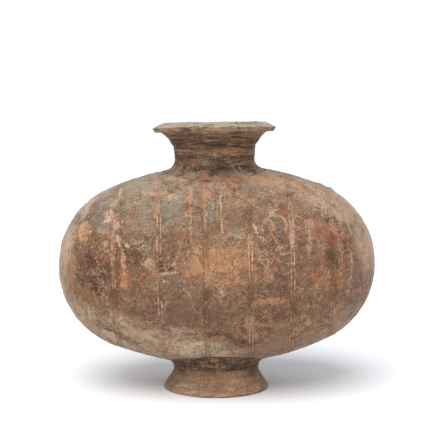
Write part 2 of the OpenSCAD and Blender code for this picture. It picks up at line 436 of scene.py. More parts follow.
def luting_coil(name, seat_x, wall_radius, rise, spread, under=False):
    """A coil smoothed to a hollow curve between a round wall and the body."""
    steps = ROUND_STEPS["coil"]
    bearing = np.arange(steps) * 2 * pi / steps
    way_x, way_y = np.sin(bearing), np.cos(bearing)
    edge_radius = wall_radius + spread
    joint = shoulder_height(seat_x + wall_radius * way_x, wall_radius * way_y)
    edge = shoulder_height(seat_x + edge_radius * way_x, edge_radius * way_y)
    section = []
    for t in np.arange(ARC_STEPS["cove"] + 1) / ARC_STEPS["cove"]:
        r = (1 - t) ** 2 * wall_radius + 2 * t * (1 - t) * wall_radius + t ** 2 * edge_radius
        z = (1 - t) ** 2 * (joint + rise) + 2 * t * (1 - t) * joint + t ** 2 * edge
        section.append((r + FEATHER, z + FEATHER))
    hidden_radius = wall_radius - SUNK
    section += [(edge_radius, edge - SUNK), (hidden_radius, joint - SUNK), (hidden_radius, joint + rise)]
    flip = -1 if under else 1
    columns = [np.stack([seat_x + r * way_x, r * way_y, flip * z], axis=1) for r, z in section]
    points = np.stack(columns, axis=1).reshape(-1, 3)
    piece = clay_mesh(name, over_foot(points), woven(steps, len(section)))
    plain_marks(piece)
    return piece


def foot_ring(name):
    """The splayed ring foot, turned in one and cut to the saddle of the belly."""
    inner_waist = WAIST_RADIUS - FOOT_WALL
    # The foot's straight side leaves the toe and touches the hollow curve of the waist
    toe = np.array([FOOT_RADIUS, TOE_HEIGHT])
    away = np.array([WAIST_RADIUS + WAIST_CURVE, WAIST_HEIGHT]) - toe
    length = np.hypot(*away)
    bearing = atan2(away[1], away[0]) + asin(WAIST_CURVE / length)
    touch = tuple(toe + sqrt(length ** 2 - WAIST_CURVE ** 2) * np.array([cos(bearing), sin(bearing)]))
    waist = arc(touch, (WAIST_RADIUS, WAIST_HEIGHT), WAIST_CURVE, ARC_STEPS["waist"])
    # The walls run up to the height of the body's centre, and are cut at the belly below
    high = CENTRE_HEIGHT
    corners = [(FOOT_RADIUS - FOOT_WALL, 0.0, FOOT_ROUNDING["inner edge"]),
               (FOOT_RADIUS, 0.0, FOOT_ROUNDING["outer edge"]), (*touch, 0)]
    corners += [(x, z, 0) for x, z in waist]
    corners += [(WAIST_RADIUS, WAIST_HEIGHT, 0), (WAIST_RADIUS, high, 0), (inner_waist, high, 0),
                (inner_waist, WAIST_HEIGHT, FOOT_ROUNDING["inner waist"])]
    below = [(x, z) for x, z in rounded(corners) if z < high]
    # The outline starts at the inner wall, runs under the foot and ends at the top of the outer wall
    middle = WAIST_RADIUS - FOOT_WALL / 2
    last = max(range(len(below)), key=lambda i: below[i][1] + (below[i][0] > middle))
    below = below[last + 1:] + below[:last + 1]
    outline = [(inner_waist, FOOT_HEIGHT)] + spaced(below) + [(WAIST_RADIUS, FOOT_HEIGHT)]
    steps = ROUND_STEPS["foot"]
    points = turned(outline, steps)
    for ends in (0, -1):
        local = about_centre(points[:, ends])
        local[:, 2] = -shoulder_height(local[:, 0], local[:, 1])
        points[:, ends, 2] = over_foot(local)[:, 2] + SUNK
    piece = clay_mesh(name, points.reshape(-1, 3), woven(steps, len(outline)))
    height = vertex_rows(piece, "co")[:, 2:] / MM
    plain_marks(piece, np.clip(height / FOOT_LEVEL - FOOT_STILL, 0, 1))
    return piece


def seam_roll(name):
    """The coil pressed into the V inside the seam, from one side of the neck's hole round to the other."""
    inner = BODY_RADIUS - BODY_WALL
    half_steps = ARC_STEPS["half of the bead"]
    shares = [k / half_steps for k in range(-half_steps, half_steps + 1)]
    outline = [(inner - SEAM_BEAD * (1 - share ** 2), SEAM_WIDTH / 2 * share) for share in shares]
    outline.append((inner + SEAM_DEPTH, 0.0))
    steps, count = ROUND_STEPS["seam"], len(outline)
    gap = asin((BORE_RADIUS + HOLE_MARGIN) / (inner - SEAM_BEAD))
    bearing = np.linspace(gap, 2 * pi - gap, steps)
    points = np.array([[(along, r * sin(b), r * cos(b)) for r, along in outline] for b in bearing])
    ends = [range(count), range((steps - 1) * count, steps * count)]
    piece = clay_mesh(name, over_foot(points.reshape(-1, 3)), woven(steps, count, ring=False), ends)
    plain_marks(piece)
    return piece


# Nodes

def add(tree, kind, inputs=None, **settings):
    """Adds a node with its settings, sets or links its inputs, and gives its outputs."""
    node = tree.nodes.new(kind)
    for name, value in settings.items():
        setattr(node, name, value)
    for key, value in (inputs or {}).items():
        if isinstance(value, bpy.types.NodeSocket):
            tree.links.new(value, node.inputs[key])
        else:
            node.inputs[key].default_value = value
    return node.outputs


def shape_tree(name, sizes):
    """An empty geometry tree with named inputs: the geometry, the sizes and the material."""
    tree = bpy.data.node_groups.new(name, "GeometryNodeTree")
    tree.is_modifier = True
    tree.interface.new_socket("Geometry", in_out="INPUT", socket_type="NodeSocketGeometry")
    tree.interface.new_socket("Geometry", in_out="OUTPUT", socket_type="NodeSocketGeometry")
    for size in sizes:
        tree.interface.new_socket(size, in_out="INPUT", socket_type="NodeSocketFloat")
    tree.interface.new_socket("Clay", in_out="INPUT", socket_type="NodeSocketMaterial")
    return tree, add(tree, "NodeGroupInput")


def run_tree(piece, tree, values):
    """Runs a geometry tree on a piece with these values, and keeps the result as its plain mesh."""
    modifier = piece.modifiers.new(tree.name, "NODES")
    modifier.node_group = tree
    for socket in tree.interface.items_tree:
        if socket.item_type == "SOCKET" and socket.in_out == "INPUT" and socket.name in values:
            modifier[socket.identifier] = values[socket.name]
    applied(piece)


# How a pattern is squeezed so that it runs round the axis, as the wheel leaves it
ROUND_THE_AXIS = (0.1, 0.1, 1.0)

# Where the noise of the burial earth grows a crust, leaves pits bare and leaves lines unfilled, and how wide
# a pit is as a share of the pits' spacing
CRUST = {"From Min": 0.52, "From Max": 0.62}
BARE = {"From Min": 0.5, "From Max": 0.4}
UNFILLED = {"From Min": 0.62, "From Max": 0.42}
PIT = {"From Min": 0.08, "From Max": 0.26, "To Min": -1.0, "To Max": 0.0}

# How the skin is weathered, in metres, but for the seed and the line's reach, which is in millimetres
BODY_SKIN = {"Seed": 4.0, "Sway Size": 0.07, "Sway Height": 0.0005,
             "Lump Size": 0.014, "Lump Height": 0.00035, "Grain Size": 0.0035, "Grain Height": 0.00022,
             "Turning Pitch": 0.01, "Turning Height": 0.0, "Crust Size": 0.016, "Crust Height": 0.0004,
             "Pit Spacing": 0.007, "Pit Depth": 0.0006, "Line Reach": 0.9, "Line Depth": 0.0006,
             "Sunk": 0.00065}
WALL_SKIN = BODY_SKIN | {"Sway Size": 0.05, "Sway Height": 0.0006, "Turning Pitch": 0.0032,
                         "Turning Height": 0.00045, "Lump Height": 0.0003, "Line Depth": 0.0, "Sunk": 0.00045}
COIL_SKIN = BODY_SKIN | {"Line Depth": 0.0}


def weathered_surface():
    """Moves the skin along its outward direction: uneven walls, grain, throwing lines, crust, pits and
    incised lines."""
    tree, given = shape_tree("weathered_surface", BODY_SKIN)
    place = add(tree, "GeometryNodeInputPosition")[0]
    flattened = add(tree, "ShaderNodeVectorMath", {0: place, 1: ROUND_THE_AXIS}, operation="MULTIPLY")[0]

    noise = {}
    for size, detail, where in (("Sway Size", 1.0, place), ("Lump Size", 2.0, place),
                                ("Grain Size", 2.0, place), ("Turning Pitch", 2.0, flattened),
                                ("Crust Size", 5.0, place)):
        scale = add(tree, "ShaderNodeMath", {0: 1.0, 1: given[size]}, operation="DIVIDE")[0]
        noise[size] = add(tree, "ShaderNodeTexNoise",
                          {"Vector": where, "W": given["Seed"], "Scale": scale, "Detail": detail},
                          noise_dimensions="4D")[0]

    # Each part is a share from -1 to 1 and the height that it is a share of
    parts = []
    for size, height in (("Sway Size", "Sway Height"), ("Lump Size", "Lump Height"),
                         ("Grain Size", "Grain Height"), ("Turning Pitch", "Turning Height")):
        centred = add(tree, "ShaderNodeMath", {0: noise[size], 1: 0.5}, operation="SUBTRACT")[0]
        swell = add(tree, "ShaderNodeMath", {0: centred, 1: 2.0}, operation="MULTIPLY")[0]
        parts.append((swell, height))
    earth = noise["Crust Size"]
    crust = add(tree, "ShaderNodeMapRange", {"Value": earth} | CRUST, interpolation_type="SMOOTHSTEP")[0]
    parts.append((crust, "Crust Height"))

    pit_scale = add(tree, "ShaderNodeMath", {0: 1.0, 1: given["Pit Spacing"]}, operation="DIVIDE")[0]
    cell = add(tree, "ShaderNodeTexVoronoi", {"Vector": place, "Scale": pit_scale})["Distance"]
    pit = add(tree, "ShaderNodeMapRange", {"Value": cell} | PIT, interpolation_type="SMOOTHSTEP")[0]
    bare = add(tree, "ShaderNodeMapRange", {"Value": earth} | BARE)[0]
    open_pit = add(tree, "ShaderNodeMath", {0: pit, 1: bare}, operation="MULTIPLY")[0]
    parts.append((open_pit, "Pit Depth"))

    distance = add(tree, "GeometryNodeInputNamedAttribute", {"Name": "line_distance"})[0]
    line = add(tree, "ShaderNodeMapRange",
               {"Value": distance, "From Max": given["Line Reach"], "To Min": -1.0, "To Max": 0.0})[0]
    unfilled = add(tree, "ShaderNodeMapRange", {"Value": earth} | UNFILLED)[0]
    open_line = add(tree, "ShaderNodeMath", {0: line, 1: unfilled}, operation="MULTIPLY")[0]
    parts.append((open_line, "Line Depth"))

    total = add(tree, "ShaderNodeMath", {0: 0.0, 1: given["Sunk"]}, operation="SUBTRACT")[0]
    rises = [add(tree, "ShaderNodeMath", {0: share, 1: given[height]}, operation="MULTIPLY")[0]
             for share, height in parts]
    rises.append(add(tree, "GeometryNodeInputNamedAttribute", {"Name": "lump"})[0])
    for rise in rises:
        total = add(tree, "ShaderNodeMath", {0: total, 1: rise}, operation="ADD")[0]
    out = add(tree, "GeometryNodeInputNamedAttribute", {"Name": "out"}, data_type="FLOAT_VECTOR")[0]
    move = add(tree, "ShaderNodeVectorMath", {0: out, "Scale": total}, operation="SCALE")[0]
    moved = add(tree, "GeometryNodeSetPosition", {"Geometry": given["Geometry"], "Offset": move})[0]
    plain = add(tree, "GeometryNodeRealizeInstances", {0: moved})[0]
    dressed = add(tree, "GeometryNodeSetMaterial", {"Geometry": plain, "Material": given["Clay"]})[0]
    add(tree, "NodeGroupOutput", {0: dressed})
    return tree


# Materials

def linear(colour):
    """Linear colour of an sRGB hex value such as #8a7260."""
    parts = [int(colour[i:i + 2], 16) / 255 for i in (1, 3, 5)]
    return (*[p / 12.92 if p <= 0.04045 else ((p + 0.055) / 1.055) ** 2.4 for p in parts], 1.0)


# Clays, earths and pigments
BROWN = "#83634d"
GREY = "#887059"
SHADE = "#735844"
UMBER = "#533929"
DARK = "#36261c"
TAN = "#bc8a62"
BUFF = "#cdae90"
CREAM = "#d8c0a2"
SLATE = "#8a8371"
DEEP_SLATE = "#736c62"
SAGE = "#a2967b"
PLUM = "#5c443f"
ROSE = "#a08272"
RUSSET = "#86594a"
CLAY = "#967559"
FAWN = "#bd9a7e"
OLIVE = "#958463"
OCHRE = "#d3a673"
RUST = "#a66a43"
RED = "#9d5b42"
ORANGE = "#bb7650"
SALMON = "#d09b78"
PINK = "#dcb9a0"
MAUVE = "#7c665a"
DUST = "#c2b29f"

# How far a pattern is moved for each step of its seed, in millimetres, so that no two lie over each other
SEED_STEP = (37.0, 53.0, 71.0)

# A spot: where it ends as a share of its half size, and how deep it reaches as a share of its longer half
SPOT_EDGE = 1.15
SPOT_DEPTH = 1.3

# A line of noise or of a ring: the share of its width where it is full, and how soon a ring fades at its end
SCROLL_FULL = 0.3
LOOP_FULL = 0.4
LOOP_FADE = 0.2

# How the front's pattern is moved about on the back: size, reach, and how far back that is full, in
# millimetres, and seed
BACK_SIZE = 45.0
BACK_REACH = 70.0
BACK_DEPTH = 50.0
BACK_SEED = 3.0


def drifted(tree, where, place, moves):
    """The place moved about by noise, so that what is laid out on it gets ragged edges. Each move is
    (size, reach, seed)."""
    for size, reach, seed in moves:
        noise = add(tree, "ShaderNodeTexNoise",
                    {"Vector": place, "W": seed, "Scale": 1 / size, "Detail": 3.0},
                    noise_dimensions="4D")["Color"]
        centred = add(tree, "ShaderNodeVectorMath", {0: noise, 1: (0.5, 0.5, 0.5)}, operation="SUBTRACT")[0]
        shift = add(tree, "ShaderNodeVectorMath", {0: centred, "Scale": reach}, operation="SCALE")[0]
        where = add(tree, "ShaderNodeVectorMath", {0: where, 1: shift}, operation="ADD")[0]
    return where


def seed_shift(seed):
    """How far a pattern with this seed is moved, in millimetres."""
    return [seed * step for step in SEED_STEP]


def patches(tree, where, size, low, high, strength=1.0, seed=0.0, detail=7.0, rough=0.66, swirl=0.0):
    """Ragged patches of about this size in millimetres: none where the noise is under low, full where it is
    over high."""
    apart = add(tree, "ShaderNodeVectorMath", {0: where, 1: seed_shift(seed)}, operation="ADD")[0]
    noise = add(tree, "ShaderNodeTexNoise", {"Vector": apart, "Scale": 1 / size, "Detail": detail,
                                             "Roughness": rough, "Distortion": swirl})[0]
    return add(tree, "ShaderNodeMapRange",
               {"Value": noise, "From Min": low, "From Max": high, "To Max": strength},
               interpolation_type="SMOOTHSTEP", clamp=False)[0]


def scrolls(tree, where, size, width, strength, seed):
    """Thin curling lines along one level of a soft noise, like what is left of painted scrolls."""
    apart = add(tree, "ShaderNodeVectorMath", {0: where, 1: seed_shift(seed)}, operation="ADD")[0]
    noise = add(tree, "ShaderNodeTexNoise", {"Vector": apart, "Scale": 1 / size, "Detail": 1.0})[0]
    level = add(tree, "ShaderNodeMath", {0: noise, 1: 0.5}, operation="SUBTRACT")[0]
    away = add(tree, "ShaderNodeMath", {0: level}, operation="ABSOLUTE")[0]
    return add(tree, "ShaderNodeMapRange",
               {"Value": away, "From Min": width, "From Max": width * SCROLL_FULL, "To Max": strength},
               interpolation_type="SMOOTHSTEP", clamp=False)[0]


def both(tree, mask, *others):
    """Where all of the masks are."""
    for other in others:
        mask = add(tree, "ShaderNodeMath", {0: mask, 1: other}, operation="MULTIPLY")[0]
    return mask


def fray(tree, place, size, reach, seed):
    """How far worn edges are eaten back or left standing, as a share of the patch they belong to."""
    apart = add(tree, "ShaderNodeVectorMath", {0: place, 1: seed_shift(seed)}, operation="ADD")[0]
    noise = add(tree, "ShaderNodeTexNoise", {"Vector": apart, "Scale": 1 / size, "Detail": 8.0,
                                             "Roughness": 0.72, "Distortion": 0.8})[0]
    return add(tree, "ShaderNodeMapRange",
               {"Value": noise, "To Min": -reach, "To Max": reach}, clamp=False)[0]


def spot(tree, where, centre, wide, high, turn=0, soft=0.6, strength=1.0, frayed=0.0):
    """A round or long spot about a point of the surface, by its half sizes in millimetres, turned by degrees
    in the jar's front plane."""
    local = add(tree, "ShaderNodeVectorMath", {0: where, 1: centre}, operation="SUBTRACT")[0]
    if turn:
        local = add(tree, "ShaderNodeVectorRotate", {"Vector": local, "Angle": radians(-turn)},
                    rotation_type="Y_AXIS")[0]
    halves = (wide, SPOT_DEPTH * max(wide, high), high)
    local = add(tree, "ShaderNodeVectorMath", {0: local, 1: halves}, operation="DIVIDE")[0]
    far = add(tree, "ShaderNodeVectorMath", {0: local}, operation="LENGTH")["Value"]
    far = add(tree, "ShaderNodeMath", {0: far, 1: frayed}, operation="ADD")[0]
    return add(tree, "ShaderNodeMapRange",
               {"Value": far, "From Min": SPOT_EDGE, "From Max": SPOT_EDGE - soft, "To Max": strength},
               interpolation_type="SMOOTHSTEP", clamp=False)[0]


def loop(tree, where, centre, radius, width, low, strength, frayed):
    """Part of a painted ring about a point of the surface, from the top down to a share of its radius."""
    local = add(tree, "ShaderNodeVectorMath", {0: where, 1: centre}, operation="SUBTRACT")[0]
    share = (1 / radius, 0, 1 / radius)
    flat = add(tree, "ShaderNodeVectorMath", {0: local, 1: share}, operation="MULTIPLY")[0]
    far = add(tree, "ShaderNodeVectorMath", {0: flat}, operation="LENGTH")["Value"]
    off = add(tree, "ShaderNodeMath", {0: far, 1: 1.0}, operation="SUBTRACT")[0]
    away = add(tree, "ShaderNodeMath", {0: off}, operation="ABSOLUTE")[0]
    edge = width / radius
    away = add(tree, "ShaderNodeMath", {0: frayed, 1: edge, 2: away}, operation="MULTIPLY_ADD")[0]
    ring = add(tree, "ShaderNodeMapRange",
               {"Value": away, "From Min": edge, "From Max": LOOP_FULL * edge, "To Max": strength},
               interpolation_type="SMOOTHSTEP", clamp=False)[0]
    up = add(tree, "ShaderNodeSeparateXYZ", {0: flat})[2]
    above = add(tree, "ShaderNodeMapRange",
                {"Value": up, "From Min": low - LOOP_FADE, "From Max": low + LOOP_FADE})[0]
    return both(tree, ring, above)


def bare_material(name):
    """A material with no nodes yet, and its tree."""
    material = bpy.data.materials.new(name)
    material.use_nodes = True
    material.node_tree.nodes.clear()
    return material, material.node_tree


def clay_material(name):
    """A material for clay, its tree, and the place on the piece in millimetres."""
    material, tree = bare_material(name)
    object_place = add(tree, "ShaderNodeTexCoord")["Object"]
    place = add(tree, "ShaderNodeVectorMath", {0: object_place, "Scale": 1 / MM}, operation="SCALE")[0]
    return material, tree, place


def folded(tree, place):
    """The place with the back folded onto the front, so that the back is as rich, and moved so that it isn't
    a mirror image."""
    x, y, z = add(tree, "ShaderNodeSeparateXYZ", {0: place})
    front = add(tree, "ShaderNodeMath", {0: y}, operation="ABSOLUTE")[0]
    front = add(tree, "ShaderNodeMath", {0: front, 1: -1.0}, operation="MULTIPLY")[0]
    where = add(tree, "ShaderNodeCombineXYZ", {0: x, 1: front, 2: z})[0]
    behind = add(tree, "ShaderNodeMapRange", {"Value": y, "From Max": BACK_DEPTH, "To Max": BACK_REACH})[0]
    return drifted(tree, where, place, [(BACK_SIZE, behind, BACK_SEED)])


def coats(tree, colour, layers):
    """Lays colours over each other, one by one as they are made: each layer is (sRGB hex, mask). In a mix of
    colours, input 0 is the mask, 6 and 7 are the colours, and output 2 is the result."""
    for pigment, mask in layers:
        colour = add(tree, "ShaderNodeMix", {0: mask, 6: colour, 7: linear(pigment)}, data_type="RGBA")[2]
    return colour


# Pale earth and painted top light on what looks up: patch size in millimetres, how soon the patches are full,
# and seed
DUST_AND_TOP_LIGHT_SIZE = 12.0
DUST_AND_TOP_LIGHT_FADE = 0.16
DUST_AND_TOP_LIGHT_SEED = 41.0


def dust_and_top_light(tree, place, low, high, bare, strength):
    """Pale earth that lies on whatever looks up, and painted top light: what faces up is made paler, as light
    from above falls on it.
    """
    normal = add(tree, "ShaderNodeNewGeometry")["Normal"]
    up = add(tree, "ShaderNodeSeparateXYZ", {0: normal})[2]
    lying = add(tree, "ShaderNodeMapRange", {"Value": up, "From Min": low, "From Max": high})[0]
    return both(tree, lying, patches(tree, place, DUST_AND_TOP_LIGHT_SIZE, bare, bare + DUST_AND_TOP_LIGHT_FADE, strength, DUST_AND_TOP_LIGHT_SEED))


# How the place is squeezed, so that flecks on it are drawn out downwards
DRAWN_OUT = {"falling": (1.0, 1.0, 0.45), "hanging": (1.0, 1.0, 0.12)}

# In the tables below, a pattern is what the patches function takes: size in millimetres, the noise where it
# starts and where it is full, strength, seed, and where these aren't the usual ones, detail, roughness and
# swirl. A scroll is size in millimetres, width as a share of the noise, strength and seed.

# Flecks under the threads: colour, how they are drawn out, and pattern
FLECKS_UNDER = [
    (UMBER, "round", 10.0, 0.51, 0.62, 0.42, 11.0, 7.0, 0.66, 1.5),
    (TAN, "falling", 7.0, 0.53, 0.63, 0.30, 12.0, 7.0, 0.66, 1.0),
    (RUST, "falling", 5.0, 0.54, 0.64, 0.30, 15.0, 5.0, 0.74, 1.0),
    (RUST, "hanging", 2.6, 0.54, 0.62, 0.30, 61.0, 3.0),
    (DARK, "hanging", 2.0, 0.55, 0.63, 0.28, 62.0, 3.0),
]

# Threads: colour, scroll, and the pattern of where they are
THREADS = [
    (BUFF, (6.5, 0.035, 0.38, 18.0), (14.0, 0.46, 0.58, 1.0, 43.0)),
    (DARK, (7.5, 0.030, 0.45, 19.0), (16.0, 0.46, 0.58, 1.0, 44.0)),
]

# Flecks over the threads: colour and pattern
FLECKS_OVER = [
    (DARK, 3.4, 0.53, 0.65, 0.40, 13.0, 4.0, 0.74, 1.5),
    (FAWN, 3.0, 0.54, 0.65, 0.30, 14.0, 4.0, 0.74, 1.5),
    (DARK, 1.6, 0.54, 0.66, 0.55, 17.0, 2.0, 0.7),
    (FAWN, 1.7, 0.55, 0.67, 0.42, 16.0, 2.0, 0.7),
]


def mottle(tree, place, quiet):
    """Fine threads and flecks, from under two to ten millimetres in size, that lime, roots and burial earth
    leave. Quiet says how strong they are."""
    ways = {"round": place}
    for way, squeeze in DRAWN_OUT.items():
        ways[way] = add(tree, "ShaderNodeVectorMath", {0: place, 1: squeeze}, operation="MULTIPLY")[0]
    for pigment, way, *pattern in FLECKS_UNDER:
        yield pigment, both(tree, patches(tree, ways[way], *pattern), quiet)
    for pigment, scroll, drift in THREADS:
        yield pigment, both(tree, scrolls(tree, place, *scroll), patches(tree, place, *drift), quiet)
    for pigment, *pattern in FLECKS_OVER:
        yield pigment, both(tree, patches(tree, place, *pattern), quiet)


# The bare clay: how rough and how shiny it is, its sand in millimetres, and the dusty film on the body and
# on the turned pieces
MATT = 0.9
SHINE = 0.2
SAND_SIZE = 1.3
SAND_DEPTH = 0.5
SAND_STRENGTH = 0.7
BODY_FILM = 0.38
WHEEL_FILM = 0.15
FILM_ROUGHNESS = 0.3


def fire(tree, colour, place, film):
    """The matt surface under the colour: fine sandy grain that catches no gloss, and a dusty film that
    pales the edges where the surface turns away."""
    sand = add(tree, "ShaderNodeTexNoise",
               {"Vector": place, "Scale": 1 / SAND_SIZE, "Detail": 4.0, "Roughness": 0.65})[0]
    bump = add(tree, "ShaderNodeBump",
               {"Strength": SAND_STRENGTH, "Distance": SAND_DEPTH * MM, "Height": sand})[0]
    shader = add(tree, "ShaderNodeBsdfPrincipled",
                 {"Base Color": colour, "Roughness": MATT, "Normal": bump, "Specular IOR Level": SHINE,
                  "Sheen Weight": film, "Sheen Roughness": FILM_ROUGHNESS})[0]
    add(tree, "ShaderNodeOutputMaterial", {"Surface": shader})


# How noise moves what is laid out on the surface, as (size, reach, seed) each, in millimetres
BROAD = [(40.0, 16.0, 6.0), (11.0, 7.0, 7.0)]
LOOSE = [(17.0, 10.0, 1.0), (5.0, 5.0, 2.0)]
TIGHT = [(14.0, 4.0, 4.0), (3.5, 2.4, 5.0)]
WHEEL_LOOSE = [(12.0, 6.0, 1.0), (4.0, 3.0, 2.0)]

# How far the edges of patches and of strokes are frayed: size in millimetres, reach and seed
PATCH_FRAY = (9.0, 2.2, 45.0)
STROKE_FRAY = (6.0, 2.4, 46.0)

# Broad soft fields on the body, in the terms of the patches below
BODY_FIELDS = {
    "reddish right side": (RUSSET, 92, 148, 42, 48, 0, 0.8, 0.85),
    "dark left flank": (UMBER, -108, 128, 32, 32, 0, 0.9, 0.75),
    "buff right end": (BUFF, 147, 152, 17, 42, 0, 0.8, 0.84),
    "fawn right shoulder": (FAWN, 108, 194, 40, 18, 30, 0.8, 0.8),
    "tan top of the right shoulder": (TAN, 62, 211, 46, 9, 12, 0.7, 1.0),
    "mauve low right": (MAUVE, 130, 98, 22, 26, 0, 0.8, 0.7),
    "shade of the left middle": (SHADE, -52, 152, 34, 20, 0, 0.9, 0.7),
    "shade of the right middle": (SHADE, 58, 138, 20, 34, 0, 0.8, 0.9),
    "sage left shoulder": (SAGE, -72, 198, 42, 20, -10, 0.8, 0.95),
    "sage top of the left shoulder": (SAGE, -80, 212, 36, 10, -14, 0.8, 0.8),
    "buff left end": (BUFF, -152, 140, 14, 54, 0, 0.7, 0.8),
    "orange middle": (TAN, 5, 138, 36, 24, 0, 0.8, 0.85),
    "shade of the lower middle": (SHADE, -14, 94, 60, 20, 0, 0.8, 0.75),
    "mauve of the lower middle": (MAUVE, -40, 88, 30, 14, 0, 0.9, 0.6),
    "pale of the lower middle": (BUFF, -28, 69, 32, 9, 8, 0.9, 0.7),
    "shade low on the right": (UMBER, 56, 92, 32, 14, 0, 0.9, 0.55),
    "shade right of the orange": (SHADE, 72, 112, 40, 13, 0, 0.9, 0.6),
    "shade left of the orange": (SHADE, -78, 112, 24, 12, 0, 0.9, 0.7),
    "rose before the red": (ROSE, 92, 156, 13, 26, 0, 0.9, 0.6),
    "grey between the bands": (SLATE, -50, 172, 36, 13, 0, 0.9, 0.6),
    "grey over the left shoulder": (SLATE, -92, 207, 30, 12, -24, 0.8, 0.7),
    "buff low left": (CREAM, -84, 68, 50, 19, 17, 0.9, 0.95),
    "buff under the middle": (CREAM, -20, 50, 50, 15, 4, 0.8, 1.0),
    "fawn under the left": (BUFF, -74, 48, 46, 13, 22, 0.8, 0.9),
    "rose under the right": (ROSE, 64, 56, 44, 14, -14, 0.8, 0.6),
    # These five pale bands along the outline are partly paler clay and partly painted light: the brightening
    # of the edges and the underside that the white floor and backdrop give.
    "pale upper left outline": (DUST, -125, 197, 40, 16, -40, 0.8, 0.9),
    "pale lower left outline": (CREAM, -138, 84, 34, 13, 46, 0.8, 0.75),
    "pale underside on the left": (CREAM, -100, 57, 40, 9, 28, 0.8, 0.6),
    "pale upper right outline": (CREAM, 131, 194, 40, 12, 42, 0.8, 0.75),
    "pale underside on the right": (FAWN, 102, 59, 48, 11, -31, 0.8, 0.55),
    "shade beside the second band": (SHADE, -82, 141, 20, 22, 0, 0.9, 0.35),
    "warm foot of the neck": (SALMON, 58, 220, 26, 7, 8, 0.8, 0.4),
}

# Clouds over the fields: colour and pattern
BODY_CLOUDS = [
    (GREY, 36.0, 0.45, 0.57, 0.50, 21.0, 7.0, 0.66, 1.2),
    (TAN, 24.0, 0.53, 0.63, 0.35, 22.0, 7.0, 0.66, 1.2),
    (UMBER, 21.0, 0.53, 0.63, 0.50, 23.0, 7.0, 0.66, 1.2),
    (RUST, 17.0, 0.55, 0.65, 0.40, 25.0, 7.0, 0.66, 1.2),
    (BUFF, 16.0, 0.57, 0.67, 0.35, 24.0, 7.0, 0.66, 1.2),
]

